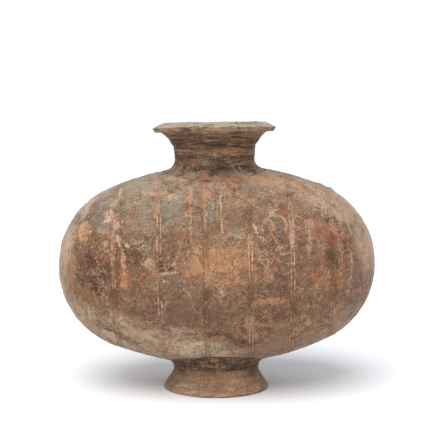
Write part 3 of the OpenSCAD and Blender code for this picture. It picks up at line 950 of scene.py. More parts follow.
# Patches on the body: (colour, across, up, half width, half height, turn in degrees, softness, strength),
# in millimetres
BODY_PATCHES = {
    "tan strip on the left end": (TAN, -138, 128, 7, 30, 0, 0.7, 0.7),
    "pale tip of the left end": (BUFF, -142, 160, 7, 14, 0, 0.6, 0.8),
    "buff over the ochre": (BUFF, -129, 181, 7, 10, 0, 0.5, 0.95),
    "ochre": (OCHRE, -127, 163, 9, 10, 0, 0.5, 1.0),
    "slate left of the first band": (DEEP_SLATE, -112, 180, 10, 15, 0, 0.5, 0.95),
    "grey over the first band": (SLATE, -104, 195, 14, 8, -25, 0.6, 0.7),
    "slate right of the first band": (DEEP_SLATE, -89, 185, 4, 11, 0, 0.5, 0.85),
    "sage shoulder on the left": (SAGE, -74, 207, 26, 9, -8, 0.6, 0.85),
    "olive on the left shoulder": (OLIVE, -83, 200, 9, 4, 0, 0.6, 0.8),
    "sage between the first two bands": (SAGE, -70, 189, 14, 10, 0, 0.6, 0.9),
    "slate right of the second band": (SLATE, -44, 190, 12, 15, 0, 0.5, 0.95),
    "slate over it": (SLATE, -46, 206, 7, 4, 0, 0.5, 0.8),
    "slate left of the drip": (SLATE, -33, 192, 6, 14, 0, 0.6, 0.6),
    "rose between the first two bands": (ROSE, -73, 171, 16, 11, 0, 0.6, 0.8),
    "red blot between the first two bands": (RED, -78, 182, 3.5, 9, 10, 0.6, 0.5),
    "grey under the slate": (SLATE, -107, 168, 8, 5, 0, 0.6, 0.7),
    "buff under the slate": (BUFF, -107, 164, 8, 3, 0, 0.5, 0.6),
    "red over the small ochre": (RED, -105, 158, 6, 3, 0, 0.6, 0.7),
    "small ochre": (OCHRE, -107, 152, 6, 5, 0, 0.5, 0.9),
    "umber flank": (UMBER, -112, 129, 22, 22, 0, 0.5, 0.85),
    "reddish dark in the flank": (RED, -104, 138, 8, 7, 0, 0.6, 0.4),
    "plum in the flank": (PLUM, -113, 114, 7, 9, 0, 0.5, 0.95),
    "rust low on the left": (RUST, -126, 103, 15, 7, 10, 0.6, 0.6),
    "smudge on the left end": (PLUM, -135, 114, 4, 6, 0, 0.6, 0.7),
    "rust knot under the first band": (RUST, -86, 118, 6, 14, 4, 0.5, 0.9),
    "tan under the knot": (TAN, -88, 104, 12, 6, 0, 0.6, 0.6),
    "dark right of the first band": (UMBER, -77, 142, 10, 10, 0, 0.5, 0.8),
    "slate left of the second band": (SLATE, -63, 150, 5, 6, 0, 0.5, 0.85),
    "buff knot": (BUFF, -62, 137, 8, 7, -20, 0.5, 0.8),
    "dark right of the second band": (UMBER, -47, 134, 7, 7, 0, 0.5, 0.8),
    "brown before the drip": (SHADE, -40, 158, 16, 16, 0, 0.6, 0.6),
    "rust by the drip": (RUST, -33, 158, 4, 9, 0, 0.6, 0.5),
    "mauve left of the middle": (MAUVE, -34, 117, 18, 14, 0, 0.6, 0.7),
    "pink in the mauve": (SALMON, -27, 127, 4, 5, 0, 0.6, 0.45),
    "tan on the shoulder": (OCHRE, -36, 213, 12, 4, 0, 0.6, 0.7),
    "dark by the neck": (DARK, 8, 220, 32, 6, 0, 0.6, 0.75),
    "dark right by the neck": (DARK, 27, 221, 15, 6, 0, 0.6, 0.8),
    "slate between the drips": (SLATE, -3, 185, 6, 14, 0, 0.5, 0.9),
    "slate under the drip": (SLATE, 14, 166, 9, 5, 25, 0.5, 0.85),
    "rust between the drips": (RUST, 9, 205, 12, 8, 0, 0.6, 0.5),
    "salmon right of the neck": (SALMON, 29, 210, 6, 4, 0, 0.6, 0.7),
    "orange right shoulder": (OCHRE, 50, 213, 26, 4, 8, 0.7, 0.6),
    "tan over the hook": (TAN, 34, 194, 10, 4, 0, 0.6, 0.8),
    "slate on the right shoulder": (DEEP_SLATE, 34, 203, 7, 3.5, 0, 0.5, 0.9),
    "slate beside it": (DEEP_SLATE, 44, 202, 6, 3.5, 0, 0.5, 0.9),
    "slate over the hook": (SLATE, 48, 188, 6, 6, 0, 0.5, 0.85),
    "cream on the right shoulder": (CREAM, 56, 205, 4, 3, 0, 0.6, 0.8),
    "mauve left of the hook": (MAUVE, 29, 184, 10, 8, 0, 0.6, 0.4),
    "brown in the middle": (SHADE, 18, 178, 9, 10, 0, 0.6, 0.4),
    "slate in the hook": (DEEP_SLATE, 54, 172, 9, 5, 32, 0.6, 1.0),
    "dark in the hook": (SHADE, 59, 167, 5, 6, 0, 0.5, 0.8),
    "red right of the hook": (RED, 63, 182, 5, 5, 0, 0.6, 0.5),
    "orange middle": (TAN, 5, 138, 34, 20, 0, 0.6, 0.95),
    "olive over the middle": (GREY, 10, 156, 18, 5, 0, 0.6, 0.6),
    "dark beside the fourth band": (SHADE, 26, 127, 7, 6, 0, 0.6, 0.7),
    "dark lower middle": (SHADE, -20, 94, 48, 16, 0, 0.8, 0.6),
    "brown low on the left": (SHADE, -62, 92, 20, 12, 0, 0.6, 0.7),
    "dark right middle": (SHADE, 60, 136, 12, 22, 0, 0.6, 0.85),
    "umber right middle": (UMBER, 60, 128, 8, 10, 0, 0.6, 0.5),
    "knot right of the middle": (SALMON, 47, 128, 9, 8, 0, 0.6, 0.5),
    "umber over the scroll": (UMBER, 62, 112, 14, 6, 0, 0.6, 0.6),
    "salmon scroll": (SALMON, 50, 101, 18, 5, -3, 0.6, 0.7),
    "dark under the scroll": (DARK, 54, 86, 18, 6, 0, 0.8, 0.65),
    "ochre specks by the foot": (OCHRE, 32, 83, 5, 15, 0, 0.7, 0.6),
    "red by the foot": (RED, 5, 68, 6, 4, 0, 0.6, 0.6),
    "dark by the foot": (UMBER, 10, 66, 11, 5, 8, 0.6, 0.8),
    "umber by the foot": (UMBER, 18, 55, 14, 4, 0, 0.6, 0.6),
    "buff low on the left": (CREAM, -90, 80, 15, 6, 22, 0.8, 0.6),
    "buff under the left": (BUFF, -64, 66, 26, 7, 16, 0.8, 0.6),
    "brown in the buff": (SHADE, -72, 74, 12, 2.4, 20, 0.8, 0.5),
    "second brown in the buff": (SHADE, -52, 62, 14, 2.6, 14, 0.8, 0.6),
    "cream by the foot": (CREAM, -24, 55, 26, 5, 8, 0.8, 0.7),
    "brown right of the orange": (SHADE, 42, 112, 22, 9, 0, 0.8, 0.75),
    "brown low on the right": (SHADE, 48, 90, 24, 9, 0, 0.8, 0.75),
    "brown under the red": (SHADE, 92, 98, 22, 13, 0, 0.8, 0.7),
    "brown by the first band": (SHADE, -84, 106, 16, 9, 0, 0.8, 0.7),
    "brown over the flank": (SHADE, -112, 150, 9, 8, 0, 0.8, 0.5),
    "grey left of the orange": (GREY, -30, 146, 10, 14, 0, 0.8, 0.6),
    "grey under the slate shoulder": (SLATE, -58, 172, 24, 9, 0, 0.8, 0.5),
    "tan edge low on the left": (TAN, -136, 94, 5, 18, -20, 0.6, 0.8),
    "pale spot low on the left": (SAGE, -126, 91, 3.5, 5, -15, 0.6, 0.8),
    "rose low on the left": (ROSE, -114, 84, 9, 8, 0, 0.7, 0.6),
    "buff edge low on the left": (BUFF, -98, 54, 24, 5, 30, 0.7, 0.8),
    "streak low on the left": (UMBER, -97, 65, 17, 2.6, 22, 0.8, 0.7),
    "lower streak low on the left": (UMBER, -88, 58, 14, 2.0, 22, 0.8, 0.6),
    "dark blotch low on the left": (DARK, -114, 113, 6, 9, 8, 0.7, 0.75),
    "tan by the foot": (OCHRE, 6, 64, 7, 3, 0, 0.6, 0.6),
    "dark knot by the foot": (DARK, 25, 61, 9, 3.5, 6, 0.6, 0.85),
    "second dark knot by the foot": (DARK, 2, 66, 8, 2.4, 24, 0.6, 0.75),
    "grey on the right shoulder": (ROSE, 76, 201, 7, 7, 20, 0.6, 0.8),
    "buff right shoulder": (BUFF, 107, 190, 33, 14, 30, 0.6, 0.85),
    "brown before the red": (SHADE, 82, 176, 7, 12, 0, 0.7, 0.5),
    "red patch": (RED, 101, 167, 16, 7, 0, 0.6, 0.95),
    "dark red patch": (RED, 113, 157, 11, 8, 0, 0.6, 0.95),
    "grey inside the red": (SHADE, 103, 149, 8, 9, 0, 0.7, 0.6),
    "dark inside the red": (UMBER, 109, 139, 8, 11, 0, 0.6, 0.75),
    "red edge": (RED, 121, 132, 5, 7, 0, 0.6, 0.85),
    "rust on the right": (RUST, 110, 118, 16, 7, 0, 0.6, 0.9),
    "tan under the rust": (TAN, 95, 108, 5, 6, 0, 0.6, 0.7),
    "brown under the rust": (SHADE, 104, 106, 12, 6, 0, 0.6, 0.6),
    "red spot on the right end": (RED, 143, 164, 4, 6, 0, 0.6, 0.7),
    "mauve on the right end": (MAUVE, 134, 108, 10, 12, 0, 0.6, 0.7),
    "plum on the right end": (PLUM, 136, 117, 6, 12, 0, 0.7, 0.7),
    "slate on the right end": (DEEP_SLATE, 137, 124, 5, 12, 0, 0.7, 0.6),
    "smooth low right": (ROSE, 124, 80, 16, 14, 0, 0.7, 0.6),
    # These two pale edges are partly paler clay and partly painted light along the outline.
    "pale edge of the left shoulder": (CREAM, -124, 193, 24, 7, -42, 0.8, 0.75),
    "pale edge of the right shoulder": (CREAM, 141, 180, 17, 6, 52, 0.8, 0.6),
    "fawn by the left end": (FAWN, -131, 97, 9, 7, 0, 0.8, 0.6),
}

# The brushed right shoulder, in the same terms without the colour, which way the brush swept in degrees,
# how its streaks are drawn out, and the streaks: colour and pattern
BRUSHED = (104, 190, 32, 16, 30)
BRUSH_TURN = 40
BRUSH_SQUEEZE = (0.06, 0.2, 1.0)
BRUSH_STREAKS = [
    (TAN, 4.0, 0.47, 0.56, 0.8, 35.0, 3.0),
    (SHADE, 3.0, 0.52, 0.60, 0.75, 36.0, 3.0),
    (CREAM, 2.6, 0.55, 0.63, 0.6, 37.0, 3.0),
]

# Narrow strokes and drips on the body, in the same terms as the patches
BODY_STROKES = {
    "plum round the neck": (PLUM, 2, 224, 44, 7, 0, 0.8, 0.9),
    "dark round the neck": (DARK, 4, 220, 40, 6, 0, 0.8, 0.85),
    "dark right of the neck": (DARK, 30, 222, 14, 5, 0, 0.8, 0.8),
    "rust under the neck": (RUST, 14, 213, 22, 4, 0, 0.9, 0.6),
    "first band, tip": (PINK, -94, 200, 1.8, 9, 0, 0.6, 0.9),
    "first band, neck": (PINK, -98, 189, 3.2, 9, 20, 0.6, 0.95),
    "first band, pale head": (PINK, -100, 178, 6.5, 7, 15, 0.6, 0.85),
    "first band, pale arm": (PINK, -104, 174, 5, 2.4, -10, 0.6, 0.7),
    "first band, pale knot": (PINK, -95, 169, 4, 7, 0, 0.5, 0.9),
    "first band, line": (SALMON, -97, 154, 3.0, 17, 2, 0.5, 1.0),
    "first band, lower line": (SALMON, -96, 127, 2.6, 15, 0, 0.7, 0.7),
    "branch, top": (PINK, -91, 156, 2.0, 9, -22, 0.6, 0.8),
    "branch": (SALMON, -87, 141, 2.8, 12, -4, 0.6, 0.9),
    "branch, foot": (SALMON, -86, 122, 3.4, 13, 0, 0.6, 0.5),
    "white knot": (CREAM, -83, 152, 3.0, 2.4, 20, 0.5, 0.9),
    "white thread": (PINK, -74, 155, 8, 1.2, -18, 0.6, 0.6),
    "second band, top": (SALMON, -56, 209, 3.4, 11, 0, 0.6, 0.8),
    "second band, cross": (SALMON, -58, 199, 14, 2.8, 2, 0.6, 0.85),
    "second band, cross on the right": (BUFF, -44, 197, 9, 3, 0, 0.6, 0.6),
    "second band, strip": (SALMON, -55.6, 186, 2.8, 13, 0, 0.6, 0.9),
    "thread over the ring": (BUFF, -47, 128, 12, 1.2, -3, 0.6, 0.7),
    "left drip, top": (SALMON, -24.6, 199, 2.8, 10, 0, 0.6, 0.85),
    "left drip, thread": (SALMON, -24, 172, 1.2, 18, 0, 0.7, 0.7),
    "third band, red head": (ORANGE, -10, 216, 5.0, 5, 0, 0.8, 0.9),
    "third band, red top": (ORANGE, -10.4, 208, 3.2, 7, 0, 0.6, 0.9),
    "third band, top": (SALMON, -11, 199, 3.0, 16, 0, 0.4, 1.0),
    "third band, thread": (PINK, -10.4, 178, 1.1, 11, 0, 0.6, 0.75),
    "third band, dark thread": (UMBER, -12.4, 177, 1.2, 12, 0, 0.6, 0.8),
    "third band, middle": (SALMON, -9, 128, 2.6, 11, -3, 0.6, 0.8),
    "drip right of the middle": (PINK, 4, 190, 1.1, 14, 0, 0.7, 0.65),
    "drip right of the middle, lower": (SALMON, 5.6, 172, 1.1, 9, -6, 0.7, 0.75),
    "pale thread right of the drip": (DUST, 18, 162, 10, 1.1, 24, 0.6, 0.5),
    "fourth band, red": (RED, 28, 167, 2.4, 8, 0, 0.6, 0.6),
    "fourth band, knot": (SALMON, 30.2, 157, 2.2, 10, 0, 0.6, 0.9),
    "fourth band, lower red": (RUST, 32, 135, 2.8, 12, 0, 0.6, 0.8),
    "pale slanting thread": (PINK, 36, 169, 1.3, 8, -21, 0.6, 0.7),
    "slate under the hook": (DEEP_SLATE, 56, 171, 8, 4.5, 32, 0.7, 0.8),
    "dark stroke over the hook": (UMBER, 50, 193, 1.4, 6, -42, 0.5, 0.9),
    "stroke over the hook": (SALMON, 53, 184, 7, 1.8, -22, 0.6, 0.95),
    "tip over the hook": (SALMON, 57, 190, 1.5, 5, 20, 0.6, 0.7),
    "fifth band, strip": (SALMON, 71, 168, 2.8, 32, 0, 0.8, 0.5),
    "fifth band, tip": (PINK, 70, 193, 1.5, 6, 0, 0.6, 0.9),
    "fifth band, knots": (PINK, 70.5, 160, 1.8, 8, 0, 0.6, 0.9),
    "salmon before the red": (SALMON, 88, 172, 4.5, 8, 0, 0.8, 0.7),
    "salmon stripe before the red": (SALMON, 87, 152, 2.6, 14, 0, 0.8, 0.5),
    "salmon under the arch": (SALMON, 111, 168, 3.5, 5, 0, 0.6, 0.7),
    "dark edge on the right": (DARK, 123, 150, 2.6, 10, -8, 0.6, 0.75),
    "pale flecks on the right": (PINK, 129, 130, 1.6, 11, 0, 0.6, 0.4),
    "sixth band, low": (SALMON, 113, 86, 1.5, 13, 0, 0.6, 0.5),
    "pale line on the left end": (CREAM, -122, 84, 1.5, 9, 0, 0.6, 0.7),
    "pale line beside it": (CREAM, -118, 83, 1.3, 8, 0, 0.6, 0.6),
    "upper crack low on the left": (DARK, -101, 67, 12, 1.5, 22, 0.6, 0.6),
    "lower crack low on the left": (DARK, -86, 58, 10, 1.4, 22, 0.6, 0.6),
    "salmon streak under the middle": (SALMON, -25, 108, 11, 2.2, 44, 0.8, 0.45),
}

# Where the paint in the incised lines is kept: (across, up, half width, half height, strength), in
# millimetres
KEPT_LINES = {
    "first band": (-97, 118, 7, 9, 0.5),
    "second band": (-55, 157, 7, 31, 1.0),
    "second band, lower": (-54, 96, 7, 28, 0.6),
    "second band, foot": (-53, 57, 7, 16, 1.0),
    "third band": (-10, 178, 6, 14, 0.5),
    "fourth band": (31, 148, 6, 30, 0.9),
    "fourth band, foot": (35, 64, 7, 28, 1.0),
    "fifth band": (71, 165, 7, 38, 1.0),
    "fifth band, lower": (71, 118, 6, 16, 0.8),
    "fifth band, foot": (72, 60, 7, 18, 1.0),
    "sixth band": (111, 84, 6, 20, 0.5),
}

# The same where the body is worn smooth, and how soft the edges of those places are
SMOOTH_PLACES = [
    (140, 146, 16, 34, 0.6), (128, 84, 22, 22, 0.6), (-150, 140, 11, 44, 0.5), (-42, 188, 16, 20, 0.4),
    (-18, 90, 60, 18, 0.45), (64, 60, 40, 14, 0.35), (-80, 64, 40, 16, 0.35), (100, 156, 22, 22, 0.35),
]
SMOOTH_SOFTNESS = 0.5

# Where the old paint flakes most, under the neck, in the terms of the patches on the body without the colour,
# then the pattern of its drifts, the flakes as colour and pattern, and what is left of its scrolls
FLAKED = (22, 199, 58, 18, 0, 0.7)
FLAKED_DRIFTS = (12.0, 0.40, 0.54, 1.0, 63.0)
FLAKES = [
    (DARK, 3.6, 0.52, 0.58, 0.75, 64.0, 3.0, 0.7, 1.5),
    (BUFF, 2.8, 0.53, 0.59, 0.75, 65.0, 3.0, 0.7, 1.5),
]
FLAKED_SCROLLS = (8.0, 0.035, 0.6, 66.0)

# Painted rings and hooks: (colour, across, up, radius, line width, lowest share of the radius, strength)
BODY_LOOPS = {
    "ring on the left": (ORANGE, -62, 120, 9.0, 2.4, -0.8, 0.55),
    "hook on the right": (SALMON, 54, 169, 11.5, 1.6, -0.25, 0.85),
    "curl in the hook": (SALMON, 48, 171, 4.5, 1.6, -0.3, 0.55),
    "arch over the red": (DARK, 110, 172, 4.5, 2.4, 0.1, 1.0),
    "ring in the red": (RED, 91, 134, 9.0, 2.4, -1.2, 0.35),
}

# Patterns of what is left of worn patches and scuffed strokes, and of the fine grime over all
WORN = (3.0, 0.24, 0.48, 1.0, 26.0, 7.0, 0.66, 1.0)
SCUFFED = (2.2, 0.34, 0.54, 1.0, 27.0)
GRIME = (1.5, 0.54, 0.66, 0.35, 48.0, 2.0)

# Faint scrolls over the whole body, and the pattern of where the first two are
SALMON_SCROLLS = (15.0, 0.016, 0.5, 29.0)
CREAM_SCROLLS = (9.0, 0.014, 0.5, 30.0)
UMBER_SCROLLS = (20.0, 0.012, 0.5, 31.0)
SCROLL_DRIFTS = (26.0, 0.47, 0.58, 1.0, 28.0)

# The incised lines: painted shade in and beside them, and paint in them, by the distance in millimetres,
# then the patterns of how ragged the paint's edge is, where it is kept, where it is unbroken and where it is
# pink
LINE_PAINTED_SHADE = {"From Min": 2.2, "From Max": 1.0, "To Max": 0.3}
LINE_PAINT = {"From Min": 1.15, "From Max": 0.4}
LINE_RAGGED = (4.0, 0.40, 0.65, 0.6, 32.0)
LINE_KEPT = (20.0, 0.50, 0.60, 0.30, 33.0)
LINE_UNBROKEN = (7.0, 0.37, 0.53, 0.95, 47.0)
LINE_PINK = (12.0, 0.47, 0.57, 0.7, 34.0)

# Pale earth and painted top light: how far the surface looks up where it starts and is full, the noise where
# it is bare, and strength
BODY_DUST_AND_TOP_LIGHT = (0.35, 0.95, 0.40, 0.30)
WHEEL_DUST_AND_TOP_LIGHT = (0.35, 0.8, 0.24, 0.64)


def body_layers(tree, place):
    """Everything that lies on the body's clay, from the oldest to the newest."""
    front = folded(tree, place)
    loose = drifted(tree, front, place, LOOSE)
    tight = drifted(tree, front, place, TIGHT)
    broad = drifted(tree, front, place, BROAD)
    for pigment, across, up, *form in BODY_FIELDS.values():
        yield pigment, spot(tree, broad, body_surface(across, up), *form)
    for pigment, *pattern in BODY_CLOUDS:
        yield pigment, patches(tree, place, *pattern)
    worn = patches(tree, place, *WORN)
    eaten = fray(tree, place, *PATCH_FRAY)
    for pigment, across, up, *form in BODY_PATCHES.values():
        yield pigment, both(tree, spot(tree, loose, body_surface(across, up), *form, eaten), worn)

    swept = add(tree, "ShaderNodeVectorRotate", {"Vector": tight, "Angle": radians(-BRUSH_TURN)},
                rotation_type="Y_AXIS")[0]
    swept = add(tree, "ShaderNodeVectorMath", {0: swept, 1: BRUSH_SQUEEZE}, operation="MULTIPLY")[0]
    across, up, *form = BRUSHED
    brushed = spot(tree, loose, body_surface(across, up), *form)
    for pigment, *pattern in BRUSH_STREAKS:
        yield pigment, both(tree, brushed, patches(tree, swept, *pattern))

    calm = 0.0
    for across, up, wide, high, strength in SMOOTH_PLACES:
        more = spot(tree, loose, body_surface(across, up), wide, high, 0, SMOOTH_SOFTNESS, strength)
        calm = add(tree, "ShaderNodeMath", {0: calm, 1: more}, operation="MAXIMUM")[0]
    quiet = add(tree, "ShaderNodeMath", {0: 1.0, 1: calm}, operation="SUBTRACT")[0]
    yield from mottle(tree, place, quiet)
    across, up, *form = FLAKED
    flaked = spot(tree, loose, body_surface(across, up), *form)
    flaking = both(tree, flaked, patches(tree, place, *FLAKED_DRIFTS))
    for pigment, *pattern in FLAKES:
        yield pigment, both(tree, patches(tree, place, *pattern), flaking)
    yield ORANGE, both(tree, scrolls(tree, place, *FLAKED_SCROLLS), flaking)

    scuffed = patches(tree, place, *SCUFFED)
    broken = fray(tree, place, *STROKE_FRAY)
    for pigment, across, up, *form in BODY_STROKES.values():
        yield pigment, both(tree, spot(tree, tight, body_surface(across, up), *form, broken), scuffed)
    for pigment, across, up, *form in BODY_LOOPS.values():
        yield pigment, both(tree, loop(tree, tight, body_surface(across, up), *form, broken), scuffed)
    drifts = patches(tree, place, *SCROLL_DRIFTS)
    yield SALMON, both(tree, scrolls(tree, loose, *SALMON_SCROLLS), drifts)
    yield CREAM, both(tree, scrolls(tree, tight, *CREAM_SCROLLS), drifts)
    yield UMBER, scrolls(tree, loose, *UMBER_SCROLLS)

    distance = add(tree, "ShaderNodeAttribute", attribute_name="line_distance")["Fac"]
    # Painted shade: umber laid in and beside the grooves of the incised lines
    beside = add(tree, "ShaderNodeMapRange", {"Value": distance} | LINE_PAINTED_SHADE)[0]
    yield UMBER, both(tree, beside, worn)
    uneven = patches(tree, place, *LINE_RAGGED)
    ragged = add(tree, "ShaderNodeMath", {0: distance, 1: uneven}, operation="ADD")[0]
    line = add(tree, "ShaderNodeMapRange", {"Value": ragged} | LINE_PAINT)[0]
    kept = patches(tree, place, *LINE_KEPT)
    for across, up, wide, high, strength in KEPT_LINES.values():
        zone = spot(tree, front, body_surface(across, up), wide, high, strength=strength)
        kept = add(tree, "ShaderNodeMath", {0: kept, 1: zone}, operation="MAXIMUM")[0]
    painted = both(tree, line, kept, patches(tree, place, *LINE_UNBROKEN))
    yield SALMON, both(tree, painted, scuffed)
    yield PINK, both(tree, painted, patches(tree, place, *LINE_PINK))
    yield UMBER, patches(tree, place, *GRIME)
    # Pale earth on what looks up, partly painted top light: the upward faces are made paler.
    yield DUST, dust_and_top_light(tree, place, *BODY_DUST_AND_TOP_LIGHT)


def body_clay():
    """Low-fired grey earthenware, thrown, incised and cold-painted, with burial earth grown into it:
    matt and mottled, with worn salmon lines and patches of buff, rust and slate."""
    material, tree, place = clay_material("cold_painted_earthenware")
    fire(tree, coats(tree, linear(BROWN), body_layers(tree, place)), place, BODY_FILM)
    return material


# Turned clay, as colour and pattern: clouds, streaks round it, and grime, which also says whether it is drawn
# out round the clay, then the pattern of what is left of worn zones and spots
WHEEL_CLOUDS = [(GREY, 20.0, 0.48, 0.58, 0.5, 53.0), (RUST, 13.0, 0.55, 0.64, 0.40, 54.0)]
WHEEL_STREAKS = [(UMBER, 4.5, 0.50, 0.60, 0.60, 51.0), (TAN, 3.4, 0.54, 0.63, 0.55, 52.0)]
WHEEL_GRIME = [
    (DARK, "drawn out", 2.0, 0.54, 0.62, 0.75, 55.0, 4.0, 0.7),
    (DUST, "drawn out", 1.6, 0.56, 0.64, 0.50, 57.0, 4.0, 0.7),
    (DARK, "round", 1.8, 0.54, 0.64, 0.60, 58.0, 3.0, 0.7),
]
WHEEL_WORN = (8.0, 0.36, 0.52, 1.0, 56.0)


def wheel_layers(tree, place, zones, spots, streaks, flecks):
    """What lies on turned clay: clouds, streaks, zones, spots, flecks, pale earth with painted top light, and
    grime. Streaks says how strong the streaks, the pale earth with its painted top light and the grime are,
    and flecks how strong the flecks are."""
    front = folded(tree, place)
    loose = drifted(tree, front, place, WHEEL_LOOSE)
    height = add(tree, "ShaderNodeSeparateXYZ", {0: loose})[2]
    round_it = add(tree, "ShaderNodeVectorMath", {0: place, 1: ROUND_THE_AXIS}, operation="MULTIPLY")[0]
    for pigment, *pattern in WHEEL_CLOUDS:
        yield pigment, patches(tree, place, *pattern)
    for pigment, size, low, high, strength, seed in WHEEL_STREAKS:
        yield pigment, patches(tree, round_it, size, low, high, strength * streaks, seed)
    worn = patches(tree, place, *WHEEL_WORN)
    for pigment, low, high, fade, strength in zones:
        over = add(tree, "ShaderNodeMapRange", {"Value": height, "From Min": low - fade, "From Max": low})[0]
        under = add(tree, "ShaderNodeMapRange",
                    {"Value": height, "From Min": high + fade, "From Max": high, "To Max": strength})[0]
        yield pigment, both(tree, over, under, worn)
    for pigment, across, depth, up, wide, high, strength in spots:
        yield pigment, both(tree, spot(tree, loose, (across, depth, up), wide, high, strength=strength), worn)
    yield from mottle(tree, place, flecks)
    # Pale earth on what looks up, partly painted top light: the upward faces are made paler.
    low, high, bare, strength = WHEEL_DUST_AND_TOP_LIGHT
    yield DUST, dust_and_top_light(tree, place, low, high, bare, strength * streaks)
    ways = {"drawn out": round_it, "round": place}
    for pigment, way, size, low, high, strength, *more in WHEEL_GRIME:
        yield pigment, patches(tree, ways[way], size, low, high, strength * streaks, *more)


def wheel_clay(name, ground, zones, spots, streaks, flecks):
    """Turned earthenware without paint: matt, with fine streaks that run round it from the wheel."""
    material, tree, place = clay_material(name)
    layers = wheel_layers(tree, place, zones, spots, streaks, flecks)
    fire(tree, coats(tree, linear(ground), layers), place, WHEEL_FILM)
    return material


# The floor's paper as it lights the jar, and as the camera sees it: white wherever no shadow falls
PAPER = (0.92, 0.93, 0.94, 1.0)
PAPER_SEEN = (1.140, 1.147, 1.155, 1.0)


def studio_paper():
    """Matt white paper: white wherever the jar leaves it in the light, with the jar's soft shadow."""
    material, tree = bare_material("studio_paper")
    seen = add(tree, "ShaderNodeLightPath")["Is Camera Ray"]
    paper = add(tree, "ShaderNodeMix", {0: seen, 6: PAPER, 7: PAPER_SEEN}, data_type="RGBA")[2]
    white = add(tree, "ShaderNodeBsdfDiffuse", {"Color": paper})[0]
    add(tree, "ShaderNodeOutputMaterial", {"Surface": white})
    return material


# Zones round the neck and the foot: (colour, lowest and highest full height over the ground, fade, strength),
# and spots: (colour, across, depth, up, half width, half height, strength), in millimetres
NECK_ZONES = [
    # The dark zone from 243 to 249 mm is painted shade under the ridge and the flare.
    (OLIVE, 254, 261, 4, 0.40), (DARK, 243, 249, 3, 0.50), (TAN, 236, 241, 2, 0.35),
    (DARK, 232.5, 234.5, 1.5, 0.60), (PLUM, 210, 231, 4, 0.75), (DARK, 210, 226, 5, 0.50),
    # The pale zone from 263.5 mm up is pale earth on the rim's bevel, partly painted top light.
    (FAWN, 258.0, 263, 1.5, 0.80), (DUST, 263.5, 270, 1.5, 0.45),
]
NECK_SPOTS = [
    (RUST, -43, -42, 260, 6, 3, 0.8), (ROSE, -18, -37, 227, 16, 5, 0.6), (DARK, 22, -35, 222, 16, 6, 0.8),
    (DARK, -34, -46, 256, 16, 3, 0.5), (DARK, 58, -20, 260, 6, 4, 0.6), (RUST, 10, -52, 254, 18, 3, 0.4),
]
FOOT_ZONES = [
    # The dark zone from 25 to 38 mm is painted shade under the belly, over the dark of the luting joint.
    # The thin dark zone at the very bottom is a painted contact shadow where the foot meets the floor.
    (DARK, 25, 38, 4, 0.95), (TAN, 4, 15, 5, 0.35), (BUFF, 1.4, 3.0, 0.8, 0.4), (DARK, -2, 0.6, 0.5, 0.6),
]
FOOT_SPOTS = [
    (SALMON, 20, -50, 11, 12, 7, 0.6), (DARK, 40, -28, 21, 9, 6, 0.7), (DARK, -40, -28, 21, 9, 5, 0.7),
    (BUFF, -32, -45, 7, 16, 5, 0.6), (UMBER, -8, -52, 9, 20, 4, 0.45), (BUFF, 42, -34, 6, 9, 4, 0.5),
]

# The pieces

SKIN = weathered_surface()
BODY_CLAY = body_clay()
NECK_CLAY = wheel_clay("wheel_turned_neck_clay", SHADE, NECK_ZONES, NECK_SPOTS, streaks=1.0, flecks=0.5)
FOOT_CLAY = wheel_clay("wheel_turned_foot_clay", CLAY, FOOT_ZONES, FOOT_SPOTS, streaks=0.5, flecks=0.8)
INNER_CLAY = wheel_clay("unpainted_inner_clay", UMBER, [], [], streaks=0.6, flecks=0.8)

left_half = body_half(LEFT, "painted_left_half")
right_half = body_half(RIGHT, "painted_right_half")
neck = neck_and_mouth("neck_with_flared_mouth")
neck_coil = luting_coil("shoulder_luting", 0.0, NECK_RADIUS, **NECK_COIL)
foot = foot_ring("splayed_ring_foot")
foot_coil = luting_coil("foot_luting", FOOT_SEAT_X, WAIST_RADIUS, under=True, **FOOT_COIL)
seam = seam_roll("inner_seam_roll")

dressing = [(left_half, BODY_SKIN, BODY_CLAY, "left_body_half", "body_clay"),
            (right_half, BODY_SKIN, BODY_CLAY, "right_body_half", "body_clay"),
            (neck, WALL_SKIN, NECK_CLAY, "neck_and_mouth", "neck_clay"),
            (neck_coil, COIL_SKIN, BODY_CLAY, "neck_luting_coil", "luting_clay"),
            (foot, WALL_SKIN, FOOT_CLAY, "foot_ring", "foot_clay"),
            (foot_coil, COIL_SKIN, FOOT_CLAY, "foot_luting_coil", "luting_clay"),
            (seam, COIL_SKIN, INNER_CLAY, "seam_coil", "luting_clay")]
for piece, skin, clay, node, slot in dressing:
    run_tree(piece, SKIN, skin | {"Clay": clay})
    piece.data.shade_smooth()
    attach(piece, "root")
    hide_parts(node)

# Stage, light and camera

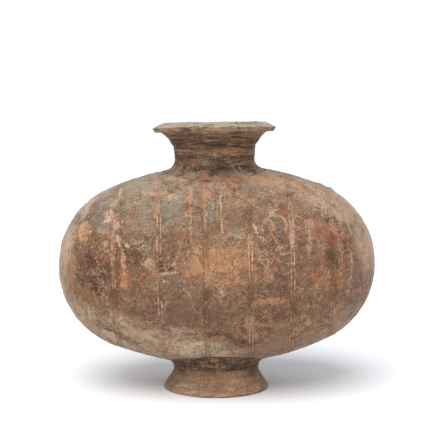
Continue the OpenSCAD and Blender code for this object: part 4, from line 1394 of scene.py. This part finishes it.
# Half the side of the floor, in metres
FLOOR_REACH = 12.0
floor_mesh = bpy.data.meshes.new("studio_floor")
floor_corners = [(x * FLOOR_REACH, y * FLOOR_REACH, 0) for x, y in ((-1, -1), (1, -1), (1, 1), (-1, 1))]
floor_mesh.from_pydata(floor_corners, [], [(0, 1, 2, 3)])
floor_mesh.materials.append(studio_paper())
floor = bpy.data.objects.new("studio_floor", floor_mesh)
bpy.context.scene.collection.objects.link(floor)

# Soft lamps: (strength, then spread, tilt towards the viewer and lean to the right in degrees)
LAMPS = {"overhead_softbox": (1.86, 47, 30, -11),
         "front_softbox": (0.80, 60, 66, 0),
         "back_softbox": (0.36, 60, -45, 0)}
for name, (energy, spread, tilt, lean) in LAMPS.items():
    light = bpy.data.lights.new(name, "SUN")
    light.energy = energy
    light.angle = radians(spread)
    lamp = bpy.data.objects.new(name, light)
    lamp.rotation_euler = (radians(tilt), radians(lean), 0)
    bpy.context.scene.collection.objects.link(lamp)

# The air of the room as a light, a shade cool, and as the white ground that the camera sees
AIR = (0.347, 0.370, 0.397, 1.0)
AIR_SEEN = (1.0, 1.0, 1.0, 1.0)

world = bpy.data.worlds.new("studio")
bpy.context.scene.world = world
world.use_nodes = True
air = world.node_tree
air.nodes.clear()
ray = add(air, "ShaderNodeLightPath")
seen = ray["Is Camera Ray"]
for other in ("Is Glossy Ray", "Is Transmission Ray"):
    seen = add(air, "ShaderNodeMath", {0: seen, 1: ray[other]}, operation="MAXIMUM")[0]
glow = add(air, "ShaderNodeMix", {0: seen, 6: AIR, 7: AIR_SEEN}, data_type="RGBA")[2]
backdrop = add(air, "ShaderNodeBackground", {"Color": glow})[0]
add(air, "ShaderNodeOutputWorld", {0: backdrop})

camera = bpy.data.objects.new("camera", bpy.data.cameras.new("camera"))
camera.data.lens = CAMERA_LENS
camera.data.sensor_width = CAMERA_SENSOR
camera.data.clip_end = CAMERA_FAR * MM
camera.location = [c * MM for c in CAMERA_PLACE]
camera.rotation_euler = (pi / 2 - CAMERA_TILT, 0, 0)
bpy.context.scene.collection.objects.link(camera)
bpy.context.scene.camera = camera
bpy.context.scene.view_settings.view_transform = "Standard"
